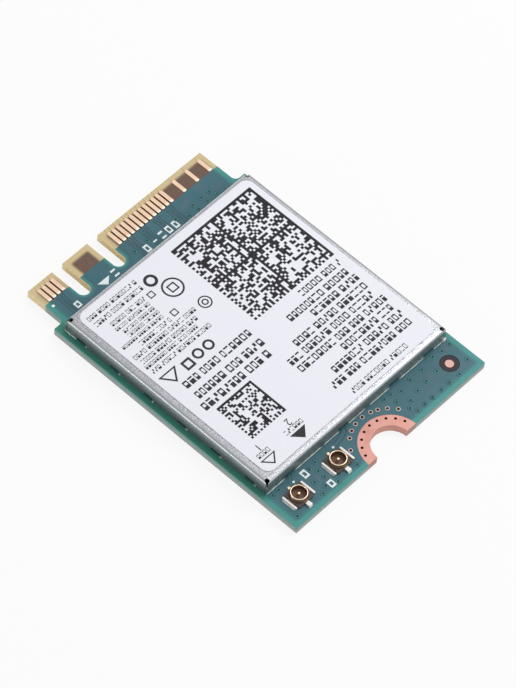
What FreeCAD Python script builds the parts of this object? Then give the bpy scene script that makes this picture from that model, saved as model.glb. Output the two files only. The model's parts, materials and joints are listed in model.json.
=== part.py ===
"""Wireless network card with an edge connector, a shield can and two antenna receptacles.

Millimetres. +Z is up, away from the face that the card rests on. +Y points at the contact edge and X runs
across the card. The origin is at the middle of the board's outline, on the underside.
"""
import FreeCAD, Part
import math
import os
from enum import IntEnum
from types import SimpleNamespace

import Sketcher

# Driving dimensions: alias, value and what it is.
DIMENSIONS = (
    ("board_length", 30.0, "antenna edge to contact edge"),
    ("board_thickness", 0.8, "mask surface to mask surface"),
    ("tongue_length", 4.0, "contact edge to the shoulders"),
    ("shoulder_width", 1.075, "tongue side to board side"),
    ("shoulder_radius", 0.5, "fillet where the tongue meets a shoulder"),
    ("contact_pitch", 0.5, "finger to finger on one face"),
    ("contact_width", 0.35, "across one finger"),
    ("contact_length", 1.45, "wide stretch of a finger"),
    ("contact_setback", 0.45, "contact edge to the wide stretch"),
    ("contact_clearing", 0.05, "bare strip behind the finger roots"),
    ("tie_width", 0.1, "plating stub from a finger to the edge"),
    ("row_margin", 0.5, "last finger to the tongue's side"),
    ("key_width", 1.2, "across a key slot"),
    ("key_depth", 3.5, "contact edge to the slot's round end"),
    ("copper_thickness", 0.04, "fingers, land, collars and mark"),
    ("mask_rise", 0.01, "mask surface above the copper"),
    ("notch_radius", 1.75, "screw notch, inside its plating"),
    ("notch_plating", 0.03, "copper on the notch's wall"),
    ("land_width", 1.0, "notch wall to the land's rim"),
    ("land_via_inset", 0.33, "land's rim to its row of vias"),
    ("land_via_step", 18.0, "degrees between vias in the land"),
    ("land_via_count", 9, "vias in the land"),
    ("via_radius", 0.1, "open hole of a via"),
    ("via_plating", 0.025, "wall of a via's barrel"),
    ("ground_via_gap", 0.6, "land's rim to the outer row of vias"),
    ("collar_width", 0.075, "copper ring round an outer via"),
    ("fiducial_radius", 0.4, "round alignment mark"),
    ("fiducial_clearing", 0.4, "bare ring round the mark"),
    ("fiducial_side_inset", 2.1, "board side to the mark"),
    ("fiducial_end_inset", 1.91, "antenna edge to the mark"),
    ("antenna_strip", 3.75, "antenna edge to the can"),
    ("can_setback", 0.65, "shoulders to the can"),
    ("can_side_margin", 0.55, "board side to the can"),
    ("can_height", 1.35, "board to the can's upper face"),
    ("can_sheet", 0.13, "thickness of the folded sheet"),
    ("can_inner_bend", 0.07, "inside radius of the folds"),
    ("corner_hole_radius", 0.2, "relief hole at a corner of the folds"),
    ("corner_hole_inset", 0.27, "can's side to the relief hole's centre"),
    ("corner_hole_depth", 0.32, "how far the relief reaches down"),
    ("corner_slit", 0.05, "slit between neighbouring walls"),
    ("foot_gap_height", 0.22, "opening between two feet"),
    ("side_gap_width", 0.95, "opening in a side wall"),
    ("side_gap_inset", 1.75, "can's end to the first opening of a side wall"),
    ("side_gap_count", 6, "openings in a side wall"),
    ("end_gap_width", 1.05, "opening in an end wall"),
    ("end_gap_outer_inset", 2.0, "can's side to the outer openings of an end wall"),
    ("end_gap_skew", 0.65, "extra inset of the outer opening at the first pin's side"),
    ("end_gap_inner_inset", 6.1, "can's side to the inner openings of an end wall"),
    ("end_gap_inner_skew", 2.75, "extra inset of the inner opening at the first pin's side"),
    ("label_thickness", 0.08, "sticker"),
    ("label_radius", 0.8, "sticker's corners"),
    ("label_first_margin", 0.7, "can's side to the sticker, first pin's side"),
    ("label_last_margin", 0.5, "can's side to the sticker, last pin's side"),
    ("label_antenna_margin", 0.55, "can's end to the sticker, antenna side"),
    ("label_contact_margin", 0.4, "can's end to the sticker, contact side"),
    ("antenna_side_inset", 2.21, "board side to the first receptacle's centre"),
    ("antenna_spacing", 4.5, "receptacle to receptacle"),
    ("ring_radius", 0.72, "outside of a receptacle's ring"),
    ("ring_wall", 0.1, "thickness of the ring"),
    ("ring_lip", 0.04, "rounding of the ring's upper edge"),
    ("receptacle_height", 0.6, "board to the ring's upper edge"),
    ("shell_lift", 0.12, "board to the shell's straps"),
    ("shell_sheet", 0.09, "thickness of the shell's straps"),
    ("leg_reach", 1.15, "ring's centre to the outside of a side leg"),
    ("leg_width", 0.22, "side leg, across"),
    ("leg_length", 1.5, "side leg, along the card"),
    ("strap_width", 0.7, "strap from the ring to a side leg"),
    ("foot_reach", 1.3, "ring's centre to the end of the front foot"),
    ("foot_width", 0.42, "front foot, across"),
    ("insulator_width", 1.7, "insulator, across the card"),
    ("insulator_length", 1.7, "insulator, along the card"),
    ("pin_radius", 0.13, "centre contact's pin"),
    ("pin_height", 0.5, "board to the pin's tip"),
    ("pin_rounding", 0.08, "rounding of the pin's tip"),
    ("signal_reach", 1.1, "ring's centre to the end of the signal foot"),
    ("signal_width", 0.26, "signal foot, across"),
    ("signal_sheet", 0.08, "thickness of the signal foot"),
    ("part_gap", 0.35, "between neighbouring parts under the can"),
    ("chip_side", 6.0, "radio chip, each way"),
    ("chip_height", 0.7, "radio chip's moulding"),
    ("lead_thickness", 0.05, "radio chip's leads and paddle"),
    ("lead_width", 0.22, "one lead, across"),
    ("lead_length", 0.4, "one lead, inwards"),
    ("lead_pitch", 0.4, "lead to lead"),
    ("lead_count", 12, "leads on each side"),
    ("paddle_side", 4.2, "ground paddle under the chip"),
    ("module_side", 2.4, "front-end module, each way"),
    ("module_low_height", 0.6, "front-end module of the lower band"),
    ("module_high_height", 0.5, "front-end module of the upper band"),
    ("crystal_length", 2.5, "crystal, across the card"),
    ("crystal_width", 2.0, "crystal, along the card"),
    ("crystal_base_height", 0.3, "crystal's ceramic base"),
    ("crystal_lid_height", 0.25, "crystal's metal lid"),
    ("crystal_lid_step", 0.15, "base's rim round the lid"),
    ("inductor_length", 2.0, "power inductor, across the card"),
    ("inductor_width", 1.6, "power inductor, along the card"),
    ("inductor_height", 0.8, "power inductor"),
    ("inductor_end", 0.4, "power inductor's end"),
    ("filter_length", 1.6, "band filter, along the card"),
    ("filter_width", 0.8, "band filter, across the card"),
    ("filter_height", 0.6, "band filter"),
    ("filter_end", 0.3, "band filter's end"),
    ("passive_length", 1.0, "small capacitor or resistor, along the card"),
    ("passive_width", 0.5, "small capacitor or resistor, across the card"),
    ("passive_end", 0.25, "end of a small capacitor or resistor"),
    ("passive_pitch", 0.9, "small part to small part"),
    ("capacitor_height", 0.5, "small capacitor"),
    ("capacitor_count", 6, "capacitors in their row"),
    ("resistor_height", 0.35, "small resistor"),
    ("resistor_count", 5, "resistors in their row"),
)

# Contact positions: odd ones are on the upper face and even ones on the lower face.
PIN_COUNT = 75
MIDDLE_PIN = (PIN_COUNT + 1) / 2
FACE_COUNT = 2
# Middle position of each key slot, among the positions that it takes up.
KEY_PINS = (11.5, 27.5)
# Runs of fingers: first position, how many, and the step in pitches.
UPPER_RUNS = ((1, 4, 1), (33, 13, 1), (63, 3, 3))
LOWER_RUNS = ((2, 3, 1), (16, 4, 1), (32, 22, 1))
# Turn of each via of the outer row about the notch, in degrees from the card's length.
GROUND_VIA_TURNS = (-55.8, -36.3, -24.0, -11.6, 3.1, 17.4, 27.9, 41.4, 56.3)

# Two places closer than this are the same place.
SAME = 1e-6

doc = FreeCAD.newDocument("wireless_card")


class Point(IntEnum):
    """Which point of a line or an arc in a sketch a constraint takes."""

    START = 1
    END = 2
    CENTRE = 3


# The sketch's own origin, as the geometry and the point that a constraint names.
SKETCH_ORIGIN = (-1, Point.START)


class Size:
    """A value of the sheet, or a sum worked out from such values: its formula and its number."""

    def __init__(self, formula, number):
        self.formula = formula
        self.number = number

    @staticmethod
    def of(value):
        return value if isinstance(value, Size) else Size(repr(value), value)

    def __add__(self, other):
        other = Size.of(other)
        return Size(f"({self.formula} + {other.formula})", self.number + other.number)

    def __sub__(self, other):
        other = Size.of(other)
        return Size(f"({self.formula} - {other.formula})", self.number - other.number)

    def __mul__(self, other):
        other = Size.of(other)
        return Size(f"({self.formula} * {other.formula})", self.number * other.number)

    def __truediv__(self, other):
        other = Size.of(other)
        return Size(f"({self.formula} / {other.formula})", self.number / other.number)

    def __rmul__(self, other):
        return Size.of(other) * self

    def __neg__(self):
        return self * -1

    def sin(self):
        return Size(f"sin({self.formula})", math.sin(math.radians(self.number)))

    def cos(self):
        return Size(f"cos({self.formula})", math.cos(math.radians(self.number)))


ZERO = Size("0", 0)


def make_sheet():
    """The spreadsheet of driving dimensions, as Size values by alias."""
    sheet = doc.addObject("Spreadsheet::Sheet", "sizes")
    for row, (alias, value, meaning) in enumerate(DIMENSIONS, start=1):
        sheet.set(f"A{row}", alias)
        sheet.set(f"B{row}", str(value))
        sheet.set(f"C{row}", meaning)
        sheet.setAlias(f"B{row}", alias)
    doc.recompute()
    return SimpleNamespace(**{alias: Size(f"sizes.{alias}", value) for alias, value, _ in DIMENSIONS})


d = make_sheet()

# Places that several pieces share, worked out from the driving dimensions.
last_finger = (PIN_COUNT - MIDDLE_PIN) * d.contact_pitch / FACE_COUNT
tongue_side = last_finger + d.contact_width / 2 + d.row_margin
board_side = tongue_side + d.shoulder_width
board_end = d.board_length / 2
shoulder = board_end - d.tongue_length
bare_depth = d.copper_thickness + d.mask_rise
finger_tip = board_end - d.contact_setback
finger_root = finger_tip - d.contact_length
root_centre = finger_root + d.contact_width / 2
board_top = d.board_thickness
lower_copper = d.mask_rise
upper_copper = board_top - bare_depth
copper_span = board_top - 2 * d.mask_rise
land_radius = d.notch_radius + d.land_width
via_wall = d.via_radius + d.via_plating
land_via_circle = land_radius - d.land_via_inset
ground_via_circle = land_radius + d.ground_via_gap
collar_radius = via_wall + d.collar_width
fiducial_x = board_side - d.fiducial_side_inset
fiducial_y = d.fiducial_end_inset - board_end
can_side = board_side - d.can_side_margin
can_near = d.antenna_strip - board_end
can_far = shoulder - d.can_setback
can_middle = (can_near + can_far) / 2
can_bend = d.can_inner_bend + d.can_sheet
can_top = board_top + d.can_height
aux_antenna = d.antenna_side_inset - board_side
main_antenna = aux_antenna + d.antenna_spacing
antenna_middle = d.antenna_strip / 2 - board_end
strap_top = d.shell_lift + d.shell_sheet
chip_top = board_top + d.lead_thickness


def bind(item, **formulas):
    """Tie properties of an object to the sheet; a double underscore stands for a dot."""
    for name, size in formulas.items():
        item.setExpression(name.replace("__", "."), Size.of(size).formula)


def move(item, x=ZERO, y=ZERO, z=ZERO):
    bind(item, Placement__Base__x=x, Placement__Base__y=y, Placement__Base__z=z)
    return item


def new_body(name):
    return doc.addObject("PartDesign::Body", name)


def flat_sketch(body, name, z=ZERO, y=ZERO):
    """A sketch that lies flat at a height in its body, with its own origin at y."""
    sketch = body.newObject("Sketcher::SketchObject", f"{body.Name}_{name}")
    plane = [part for part in body.Origin.OriginFeatures if part.Role == "XY_Plane"][0]
    sketch.AttachmentSupport = [(plane, "")]
    sketch.MapMode = "FlatFace"
    bind(sketch, AttachmentOffset__Base__z=z, AttachmentOffset__Base__y=y)
    return sketch


def hold(sketch, kind, index, point, size):
    """Fix one coordinate of a point by the sheet."""
    row = sketch.addConstraint(Sketcher.Constraint(kind, *SKETCH_ORIGIN, index, point, size.number))
    sketch.setExpression(f"Constraints[{row}]", size.formula)


def draw_outline(sketch, corners, rounds=()):
    """A closed outline through corners; the stretches in rounds, counted from 0, are half circles.

    A half circle runs counter-clockwise on a chord that lies along X.
    """
    places = [FreeCAD.Vector(Size.of(x).number, Size.of(y).number, 0) for x, y in corners]
    indices = []
    for step, start in enumerate(places):
        end = places[(step + 1) % len(places)]
        if step in rounds:
            middle = (start + end) / 2
            radius = (end - start).Length / 2
            turn = math.pi if start.x < end.x else 0
            circle = Part.Circle(middle, FreeCAD.Vector(0, 0, 1), radius)
            indices.append(sketch.addGeometry(Part.ArcOfCircle(circle, turn, turn + math.pi)))
        else:
            indices.append(sketch.addGeometry(Part.LineSegment(start, end)))
    for step, index in enumerate(indices):
        following = indices[(step + 1) % len(indices)]
        sketch.addConstraint(Sketcher.Constraint("Coincident", index, Point.END, following, Point.START))
        hold(sketch, "DistanceX", index, Point.START, Size.of(corners[step][0]))
        hold(sketch, "DistanceY", index, Point.START, Size.of(corners[step][1]))
        if step in rounds:
            hold(sketch, "DistanceY", index, Point.CENTRE, Size.of(corners[step][1]))


def draw_rectangle(sketch, low_x, high_x, low_y, high_y):
    draw_outline(sketch, ((low_x, low_y), (high_x, low_y), (high_x, high_y), (low_x, high_y)))


def draw_circle(sketch, x, y, radius):
    centre = FreeCAD.Vector(Size.of(x).number, Size.of(y).number, 0)
    circle = Part.Circle(centre, FreeCAD.Vector(0, 0, 1), radius.number)
    index = sketch.addGeometry(circle)
    hold(sketch, "DistanceX", index, Point.CENTRE, Size.of(x))
    hold(sketch, "DistanceY", index, Point.CENTRE, Size.of(y))
    row = sketch.addConstraint(Sketcher.Constraint("Radius", index, radius.number))
    sketch.setExpression(f"Constraints[{row}]", radius.formula)


def pad(sketch, height):
    """Raise a sketch by a height."""
    body = sketch.getParentGeoFeatureGroup()
    feature = body.newObject("PartDesign::Pad", f"{sketch.Name}_pad")
    feature.Profile = sketch
    bind(feature, Length=height)
    doc.recompute()
    return feature


def pocket(sketch, depth, upwards=False):
    """Cut a sketch into its body, down from the sketch or up from it."""
    body = sketch.getParentGeoFeatureGroup()
    before = body.Shape.Volume
    feature = body.newObject("PartDesign::Pocket", f"{sketch.Name}_pocket")
    feature.Profile = sketch
    feature.Reversed = upwards
    bind(feature, Length=depth)
    doc.recompute()
    if body.Shape.Volume >= before:
        raise RuntimeError(f"{feature.Name} cuts nothing")
    return feature


def fillet(body, name, radius, wanted):
    """Round the edges of a body that a test picks out."""
    base = body.Tip
    names = [f"Edge{n}" for n, edge in enumerate(base.Shape.Edges, start=1) if wanted(edge)]
    feature = body.newObject("PartDesign::Fillet", f"{body.Name}_{name}")
    feature.Base = (base, names)
    bind(feature, Radius=radius)
    doc.recompute()
    return feature


def repeat_round(feature, sketch, count, step):
    """Repeat a feature about a sketch's own origin."""
    body = sketch.getParentGeoFeatureGroup()
    pattern = body.newObject("PartDesign::PolarPattern", f"{sketch.Name}_pattern")
    pattern.Originals = [feature]
    pattern.Axis = (sketch, ["N_Axis"])
    bind(pattern, Angle=step * (count - 1), Occurrences=count)
    body.Tip = pattern
    doc.recompute()
    return pattern


def repeat_along(feature, sketch, axis, count, step):
    """Repeat a feature along one axis of a sketch."""
    body = sketch.getParentGeoFeatureGroup()
    pattern = body.newObject("PartDesign::LinearPattern", f"{sketch.Name}_pattern")
    pattern.Originals = [feature]
    pattern.Direction = (sketch, [axis])
    count = Size.of(count)
    bind(pattern, Length=step * (count - 1), Occurrences=count)
    body.Tip = pattern
    doc.recompute()
    return pattern


def block(name, length, width, height, x, y, z):
    """A box centred on x and y that stands at z."""
    box = doc.addObject("Part::Box", name)
    bind(box, Length=length, Width=width, Height=height)
    return move(box, x - length / 2, y - width / 2, z)


def rod(name, radius, height, x, y, z):
    cylinder = doc.addObject("Part::Cylinder", name)
    bind(cylinder, Radius=radius, Height=height)
    return move(cylinder, x, y, z)


def joined(name, pieces):
    fusion = doc.addObject("Part::MultiFuse", name)
    fusion.Shapes = pieces
    return fusion


def group(name, pieces):
    """Separate solids that share one node."""
    compound = doc.addObject("Part::Compound", name)
    compound.Links = pieces
    return compound


def upright_at(places):
    """A test for upright edges at any of some places."""

    def wanted(edge):
        ends = [vertex.Point for vertex in edge.Vertexes]
        if len(ends) < 2 or math.hypot(ends[0].x - ends[1].x, ends[0].y - ends[1].y) > SAME:
            return False
        return any(math.hypot(ends[0].x - x.number, ends[0].y - y.number) < SAME for x, y in places)

    return wanted


def level_edge(z):
    """A test for edges that lie wholly at one height."""
    return lambda edge: edge.BoundBox.ZLength < SAME and abs(edge.BoundBox.ZMin - z.number) < SAME


def pin_place(pin):
    return (pin - MIDDLE_PIN) * d.contact_pitch / FACE_COUNT


def first_land_via():
    """Where the land's row of vias starts, seen from the notch's centre."""
    half_span = d.land_via_step * (d.land_via_count - 1) / 2
    return land_via_circle * half_span.sin(), land_via_circle * half_span.cos()


def draw_ground_vias(sketch, radius):
    """A circle at each via of the outer row, in a sketch centred on the notch."""
    for turn in map(Size.of, GROUND_VIA_TURNS):
        draw_circle(sketch, ground_via_circle * turn.sin(), ground_via_circle * turn.cos(), radius)


def make_board():
    body = new_body("circuit_board")
    outline = flat_sketch(body, "outline")
    draw_outline(
        outline,
        (
            (-board_side, -board_end),
            (board_side, -board_end),
            (board_side, shoulder),
            (tongue_side, shoulder),
            (tongue_side, board_end),
            (-tongue_side, board_end),
            (-tongue_side, shoulder),
            (-board_side, shoulder),
        ),
    )
    pad(outline, d.board_thickness)
    shoulders = ((tongue_side, shoulder), (-tongue_side, shoulder))
    fillet(body, "shoulders", d.shoulder_radius, upright_at(shoulders))

    for pin in KEY_PINS:
        key = flat_sketch(body, f"key_{int(pin)}", z=board_top)
        low = pin_place(pin) - d.key_width / 2
        high = pin_place(pin) + d.key_width / 2
        round_end = board_end - d.key_depth + d.key_width / 2
        corners = ((low, round_end), (high, round_end), (high, board_end), (low, board_end))
        draw_outline(key, corners, rounds=(0,))
        pocket(key, d.board_thickness)

    notch = flat_sketch(body, "notch", z=board_top)
    draw_circle(notch, ZERO, -board_end, d.notch_radius + d.notch_plating)
    pocket(notch, d.board_thickness)

    for face, z in (("upper", board_top), ("lower", ZERO)):
        from_below = face == "lower"
        window = flat_sketch(body, f"{face}_contact_window", z=z)
        draw_rectangle(window, -tongue_side, tongue_side, finger_root - d.contact_clearing, board_end)
        pocket(window, bare_depth, upwards=from_below)
        land = flat_sketch(body, f"{face}_land_window", z=z, y=-board_end)
        draw_circle(land, ZERO, ZERO, land_radius)
        pocket(land, bare_depth, upwards=from_below)
        collar = flat_sketch(body, f"{face}_collar_window", z=z, y=-board_end)
        draw_ground_vias(collar, collar_radius)
        pocket(collar, bare_depth, upwards=from_below)

    ground_holes = flat_sketch(body, "ground_vias", z=board_top, y=-board_end)
    draw_ground_vias(ground_holes, via_wall)
    pocket(ground_holes, d.board_thickness)
    land_holes = flat_sketch(body, "land_vias", z=board_top, y=-board_end)
    draw_circle(land_holes, *first_land_via(), via_wall)
    cut = pocket(land_holes, d.board_thickness)
    repeat_round(cut, land_holes, d.land_via_count, d.land_via_step)

    mark = flat_sketch(body, "fiducial_window", z=board_top)
    draw_circle(mark, fiducial_x, fiducial_y, d.fiducial_radius + d.fiducial_clearing)
    pocket(mark, bare_depth)
    return body


def make_contacts(name, runs, z):
    """The gold fingers of one face, each with a round root and a stub to the edge."""
    body = new_body(name)
    for first, count, step in runs:
        finger = flat_sketch(body, f"run_{first}", z=z)
        middle = pin_place(first)
        low, high = middle - d.contact_width / 2, middle + d.contact_width / 2
        stub_low, stub_high = middle - d.tie_width / 2, middle + d.tie_width / 2
        draw_outline(
            finger,
            (
                (low, root_centre),
                (high, root_centre),
                (high, finger_tip),
                (stub_high, finger_tip),
                (stub_high, board_end),
                (stub_low, board_end),
                (stub_low, finger_tip),
                (low, finger_tip),
            ),
            rounds=(0,),
        )
        raised = pad(finger, d.copper_thickness)
        repeat_along(raised, finger, "H_Axis", count, step * d.contact_pitch)
    return body


def make_screw_land():
    """Copper on both faces and on the wall of the notch, tied through by its vias."""
    body = new_body("screw_land")
    wall = flat_sketch(body, "wall", z=lower_copper, y=-board_end)
    draw_circle(wall, ZERO, ZERO, d.notch_radius + d.notch_plating)
    pad(wall, copper_span)
    for face, z in (("lower", lower_copper), ("upper", upper_copper)):
        disc = flat_sketch(body, f"{face}_disc", z=z, y=-board_end)
        draw_circle(disc, ZERO, ZERO, land_radius)
        pad(disc, d.copper_thickness)
    barrel = flat_sketch(body, "barrel", z=lower_copper, y=-board_end)
    draw_circle(barrel, *first_land_via(), via_wall)
    repeat_round(pad(barrel, copper_span), barrel, d.land_via_count, d.land_via_step)
    hole = flat_sketch(body, "hole", z=board_top, y=-board_end)
    draw_circle(hole, *first_land_via(), d.via_radius)
    repeat_round(pocket(hole, board_top), hole, d.land_via_count, d.land_via_step)
    notch = flat_sketch(body, "notch", z=board_top, y=-board_end)
    draw_circle(notch, ZERO, ZERO, d.notch_radius)
    pocket(notch, board_top)
    edge = flat_sketch(body, "edge", z=board_top, y=-board_end)
    draw_rectangle(edge, -land_radius, land_radius, -land_radius, ZERO)
    pocket(edge, board_top)
    return body


def make_ground_vias():
    """The outer row of plated eyelets, each with a collar on both faces."""
    body = new_body("ground_vias")
    for name, radius, height, z in (
        ("barrel", via_wall, copper_span, lower_copper),
        ("lower_collar", collar_radius, d.copper_thickness, lower_copper),
        ("upper_collar", collar_radius, d.copper_thickness, upper_copper),
    ):
        sketch = flat_sketch(body, name, z=z, y=-board_end)
        draw_ground_vias(sketch, radius)
        pad(sketch, height)
    hole = flat_sketch(body, "hole", z=board_top, y=-board_end)
    draw_ground_vias(hole, d.via_radius)
    pocket(hole, board_top)
    return body


def make_fiducial():
    return rod("fiducial", d.fiducial_radius, d.copper_thickness, fiducial_x, fiducial_y, upper_copper)


def make_shield_can():
    """One folded sheet: a lid and four walls on feet, relieved at the corners."""
    body = new_body("shield_can")
    outline = flat_sketch(body, "outline", z=board_top)
    draw_rectangle(outline, -can_side, can_side, can_near, can_far)
    pad(outline, d.can_height)
    fillet(body, "outer_folds", can_bend, level_edge(can_top))

    hollow = flat_sketch(body, "hollow", z=board_top)
    inner_side = can_side - d.can_sheet
    draw_rectangle(hollow, -inner_side, inner_side, can_near + d.can_sheet, can_far - d.can_sheet)
    pocket(hollow, d.can_height - d.can_sheet, upwards=True)
    fillet(body, "inner_folds", d.can_inner_bend, level_edge(can_top - d.can_sheet))

    reliefs = flat_sketch(body, "reliefs", z=can_top)
    for x in (-can_side + d.corner_hole_inset, can_side - d.corner_hole_inset):
        for y in (can_near + d.corner_hole_inset, can_far - d.corner_hole_inset):
            draw_circle(reliefs, x, y, d.corner_hole_radius)
    pocket(reliefs, d.corner_hole_depth)

    slits = flat_sketch(body, "slits", z=board_top)
    near_slit = can_near + d.can_sheet
    far_slit = can_far - d.can_sheet
    for low_x, high_x in ((-can_side, -inner_side), (inner_side, can_side)):
        draw_rectangle(slits, low_x, high_x, near_slit, near_slit + d.corner_slit)
        draw_rectangle(slits, low_x, high_x, far_slit - d.corner_slit, far_slit)
    pocket(slits, d.can_height - can_bend, upwards=True)

    side_gap = flat_sketch(body, "side_gap", z=board_top)
    first = can_near + d.side_gap_inset
    pitch = (can_far - can_near - 2 * d.side_gap_inset) / (d.side_gap_count - 1)
    draw_rectangle(side_gap, -can_side, can_side, first - d.side_gap_width / 2, first + d.side_gap_width / 2)
    cut = pocket(side_gap, d.foot_gap_height, upwards=True)
    repeat_along(cut, side_gap, "V_Axis", d.side_gap_count, pitch)

    end_gaps = flat_sketch(body, "end_gaps", z=board_top)
    for x in (
        -can_side + d.end_gap_outer_inset + d.end_gap_skew,
        -can_side + d.end_gap_inner_inset + d.end_gap_inner_skew,
        can_side - d.end_gap_inner_inset,
        can_side - d.end_gap_outer_inset,
    ):
        draw_rectangle(end_gaps, x - d.end_gap_width / 2, x + d.end_gap_width / 2, can_near, can_far)
    pocket(end_gaps, d.foot_gap_height, upwards=True)
    return body


def make_label():
    body = new_body("label")
    outline = flat_sketch(body, "outline", z=can_top)
    low_x, high_x = d.label_first_margin - can_side, can_side - d.label_last_margin
    low_y, high_y = can_near + d.label_antenna_margin, can_far - d.label_contact_margin
    draw_rectangle(outline, low_x, high_x, low_y, high_y)
    pad(outline, d.label_thickness)
    corners = ((low_x, low_y), (high_x, low_y), (high_x, high_y), (low_x, high_y))
    fillet(body, "corners", d.label_radius, upright_at(corners))
    return body


def make_receptacle(name, x):
    """An antenna receptacle: a shell with a ring, an insulator and a centre contact."""
    shell = new_body(f"{name}_shell")
    ring = flat_sketch(shell, "ring", z=d.shell_lift)
    draw_circle(ring, ZERO, ZERO, d.ring_radius)
    pad(ring, d.receptacle_height - d.shell_lift)
    fillet(shell, "lip", d.ring_lip, level_edge(d.receptacle_height))
    strap = flat_sketch(shell, "strap", z=d.shell_lift)
    draw_rectangle(strap, -d.leg_reach, d.leg_reach, -d.strap_width / 2, d.strap_width / 2)
    pad(strap, d.shell_sheet)
    legs = flat_sketch(shell, "legs")
    leg_inside = d.leg_reach - d.leg_width
    for low_x, high_x in ((-d.leg_reach, -leg_inside), (leg_inside, d.leg_reach)):
        draw_rectangle(legs, low_x, high_x, -d.leg_length / 2, d.leg_length / 2)
    pad(legs, strap_top)
    foot = flat_sketch(shell, "foot")
    draw_rectangle(foot, -d.foot_width / 2, d.foot_width / 2, -d.foot_reach, d.ring_wall - d.ring_radius)
    pad(foot, strap_top)
    bore = flat_sketch(shell, "bore", z=d.receptacle_height)
    draw_circle(bore, ZERO, ZERO, d.ring_radius - d.ring_wall)
    pocket(bore, d.receptacle_height)
    move(shell, x, antenna_middle, board_top)

    contact = new_body(f"{name}_contact")
    foot = flat_sketch(contact, "foot")
    draw_rectangle(foot, -d.signal_width / 2, d.signal_width / 2, ZERO, d.signal_reach)
    pad(foot, d.signal_sheet)
    pin = flat_sketch(contact, "pin")
    draw_circle(pin, ZERO, ZERO, d.pin_radius)
    pad(pin, d.pin_height)
    fillet(contact, "tip", d.pin_rounding, level_edge(d.pin_height))
    move(contact, x, antenna_middle, board_top)

    insulator_size = (d.insulator_width, d.insulator_length, strap_top)
    blank = block(f"{name}_blank", *insulator_size, x, antenna_middle, board_top)
    insulator = doc.addObject("Part::Cut", f"{name}_insulator")
    insulator.Base = blank
    socket_size = (d.ring_radius - d.ring_wall, d.receptacle_height - d.shell_lift)
    socket = rod(f"{name}_socket", *socket_size, x, antenna_middle, board_top + d.shell_lift)
    insulator.Tool = joined(f"{name}_hollow", [shell, contact, socket])
    return [shell, contact, insulator]


def make_chip():
    """The radio chip: a moulding on flat leads round a ground paddle."""
    moulding = block("radio_chip", d.chip_side, d.chip_side, d.chip_height, ZERO, can_middle, chip_top)
    leads = new_body("radio_chip_leads")
    paddle = flat_sketch(leads, "paddle")
    draw_rectangle(paddle, -d.paddle_side / 2, d.paddle_side / 2, -d.paddle_side / 2, d.paddle_side / 2)
    pad(paddle, d.lead_thickness)
    row_start = d.lead_pitch * (d.lead_count - 1) / 2
    side = d.chip_side / 2
    inner = side - d.lead_length
    near_start, far_start = -row_start - d.lead_width / 2, d.lead_width / 2 - row_start
    for name, axis, corners in (
        ("first_side", "V_Axis", (-side, -inner, near_start, far_start)),
        ("last_side", "V_Axis", (inner, side, near_start, far_start)),
        ("near_side", "H_Axis", (near_start, far_start, -side, -inner)),
        ("far_side", "H_Axis", (near_start, far_start, inner, side)),
    ):
        lead = flat_sketch(leads, name)
        draw_rectangle(lead, *corners)
        repeat_along(pad(lead, d.lead_thickness), lead, axis, d.lead_count, d.lead_pitch)
    move(leads, ZERO, can_middle, board_top)
    return [moulding, leads]


def make_ended_parts(name, length, width, height, end, places, across=False):
    """Ceramic or ferrite parts with a metal end each way; across turns their length along X."""
    bodies, ends = [], []
    middle = length - 2 * end
    reach = (length - end) / 2
    for number, (x, y) in enumerate(places, start=1):
        if across:
            bodies.append(block(f"{name}_core_{number}", middle, width, height, x, y, board_top))
            spots = ((x - reach, y), (x + reach, y))
        else:
            bodies.append(block(f"{name}_core_{number}", width, middle, height, x, y, board_top))
            spots = ((x, y - reach), (x, y + reach))
        for side, spot in zip(("low", "high"), spots):
            size = (end, width) if across else (width, end)
            ends.append(block(f"{name}_{side}_end_{number}", *size, height, *spot, board_top))
    return [group(f"{name}_bodies", bodies), group(f"{name}_ends", ends)]


def make_inner_parts():
    """What the sealed can covers, laid out round the radio chip."""
    chip_half = d.chip_side / 2
    pieces = make_chip()

    module_y = can_middle - chip_half - d.part_gap - d.module_side / 2
    module_x = (d.module_side + d.part_gap) / 2
    for name, height, x in (
        ("front_end_module_low", d.module_low_height, -module_x),
        ("front_end_module_high", d.module_high_height, module_x),
    ):
        pieces.append(block(name, d.module_side, d.module_side, height, x, module_y, board_top))

    crystal_x = -chip_half - d.part_gap - d.crystal_length / 2
    base_size = (d.crystal_length, d.crystal_width, d.crystal_base_height)
    pieces.append(block("crystal_base", *base_size, crystal_x, can_middle, board_top))
    lid_length = d.crystal_length - 2 * d.crystal_lid_step
    lid_width = d.crystal_width - 2 * d.crystal_lid_step
    lid_size = (lid_length, lid_width, d.crystal_lid_height)
    pieces.append(block("crystal_lid", *lid_size, crystal_x, can_middle, board_top + d.crystal_base_height))

    inductor_x = chip_half + d.part_gap + d.inductor_length / 2
    inductor_y = (d.inductor_width + d.part_gap) / 2
    places = ((inductor_x, can_middle - inductor_y), (inductor_x, can_middle + inductor_y))
    inductor_size = (d.inductor_length, d.inductor_width, d.inductor_height, d.inductor_end)
    pieces += make_ended_parts("power_inductor", *inductor_size, places, across=True)

    filter_y = module_y - (d.module_side + d.filter_length) / 2 - d.part_gap
    places = ((-module_x, filter_y), (module_x, filter_y))
    filter_size = (d.filter_length, d.filter_width, d.filter_height, d.filter_end)
    pieces += make_ended_parts("band_filter", *filter_size, places)

    row_y = can_middle + chip_half + d.part_gap + d.passive_length / 2
    for name, count, height in (
        ("capacitor", d.capacitor_count, d.capacitor_height),
        ("resistor", d.resistor_count, d.resistor_height),
    ):
        first = d.passive_pitch * (count - 1) / 2
        places = [(step * d.passive_pitch - first, row_y) for step in range(int(count.number))]
        pieces += make_ended_parts(name, d.passive_length, d.passive_width, height, d.passive_end, places)
        row_y = row_y + d.passive_length + d.part_gap
    return pieces


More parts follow.
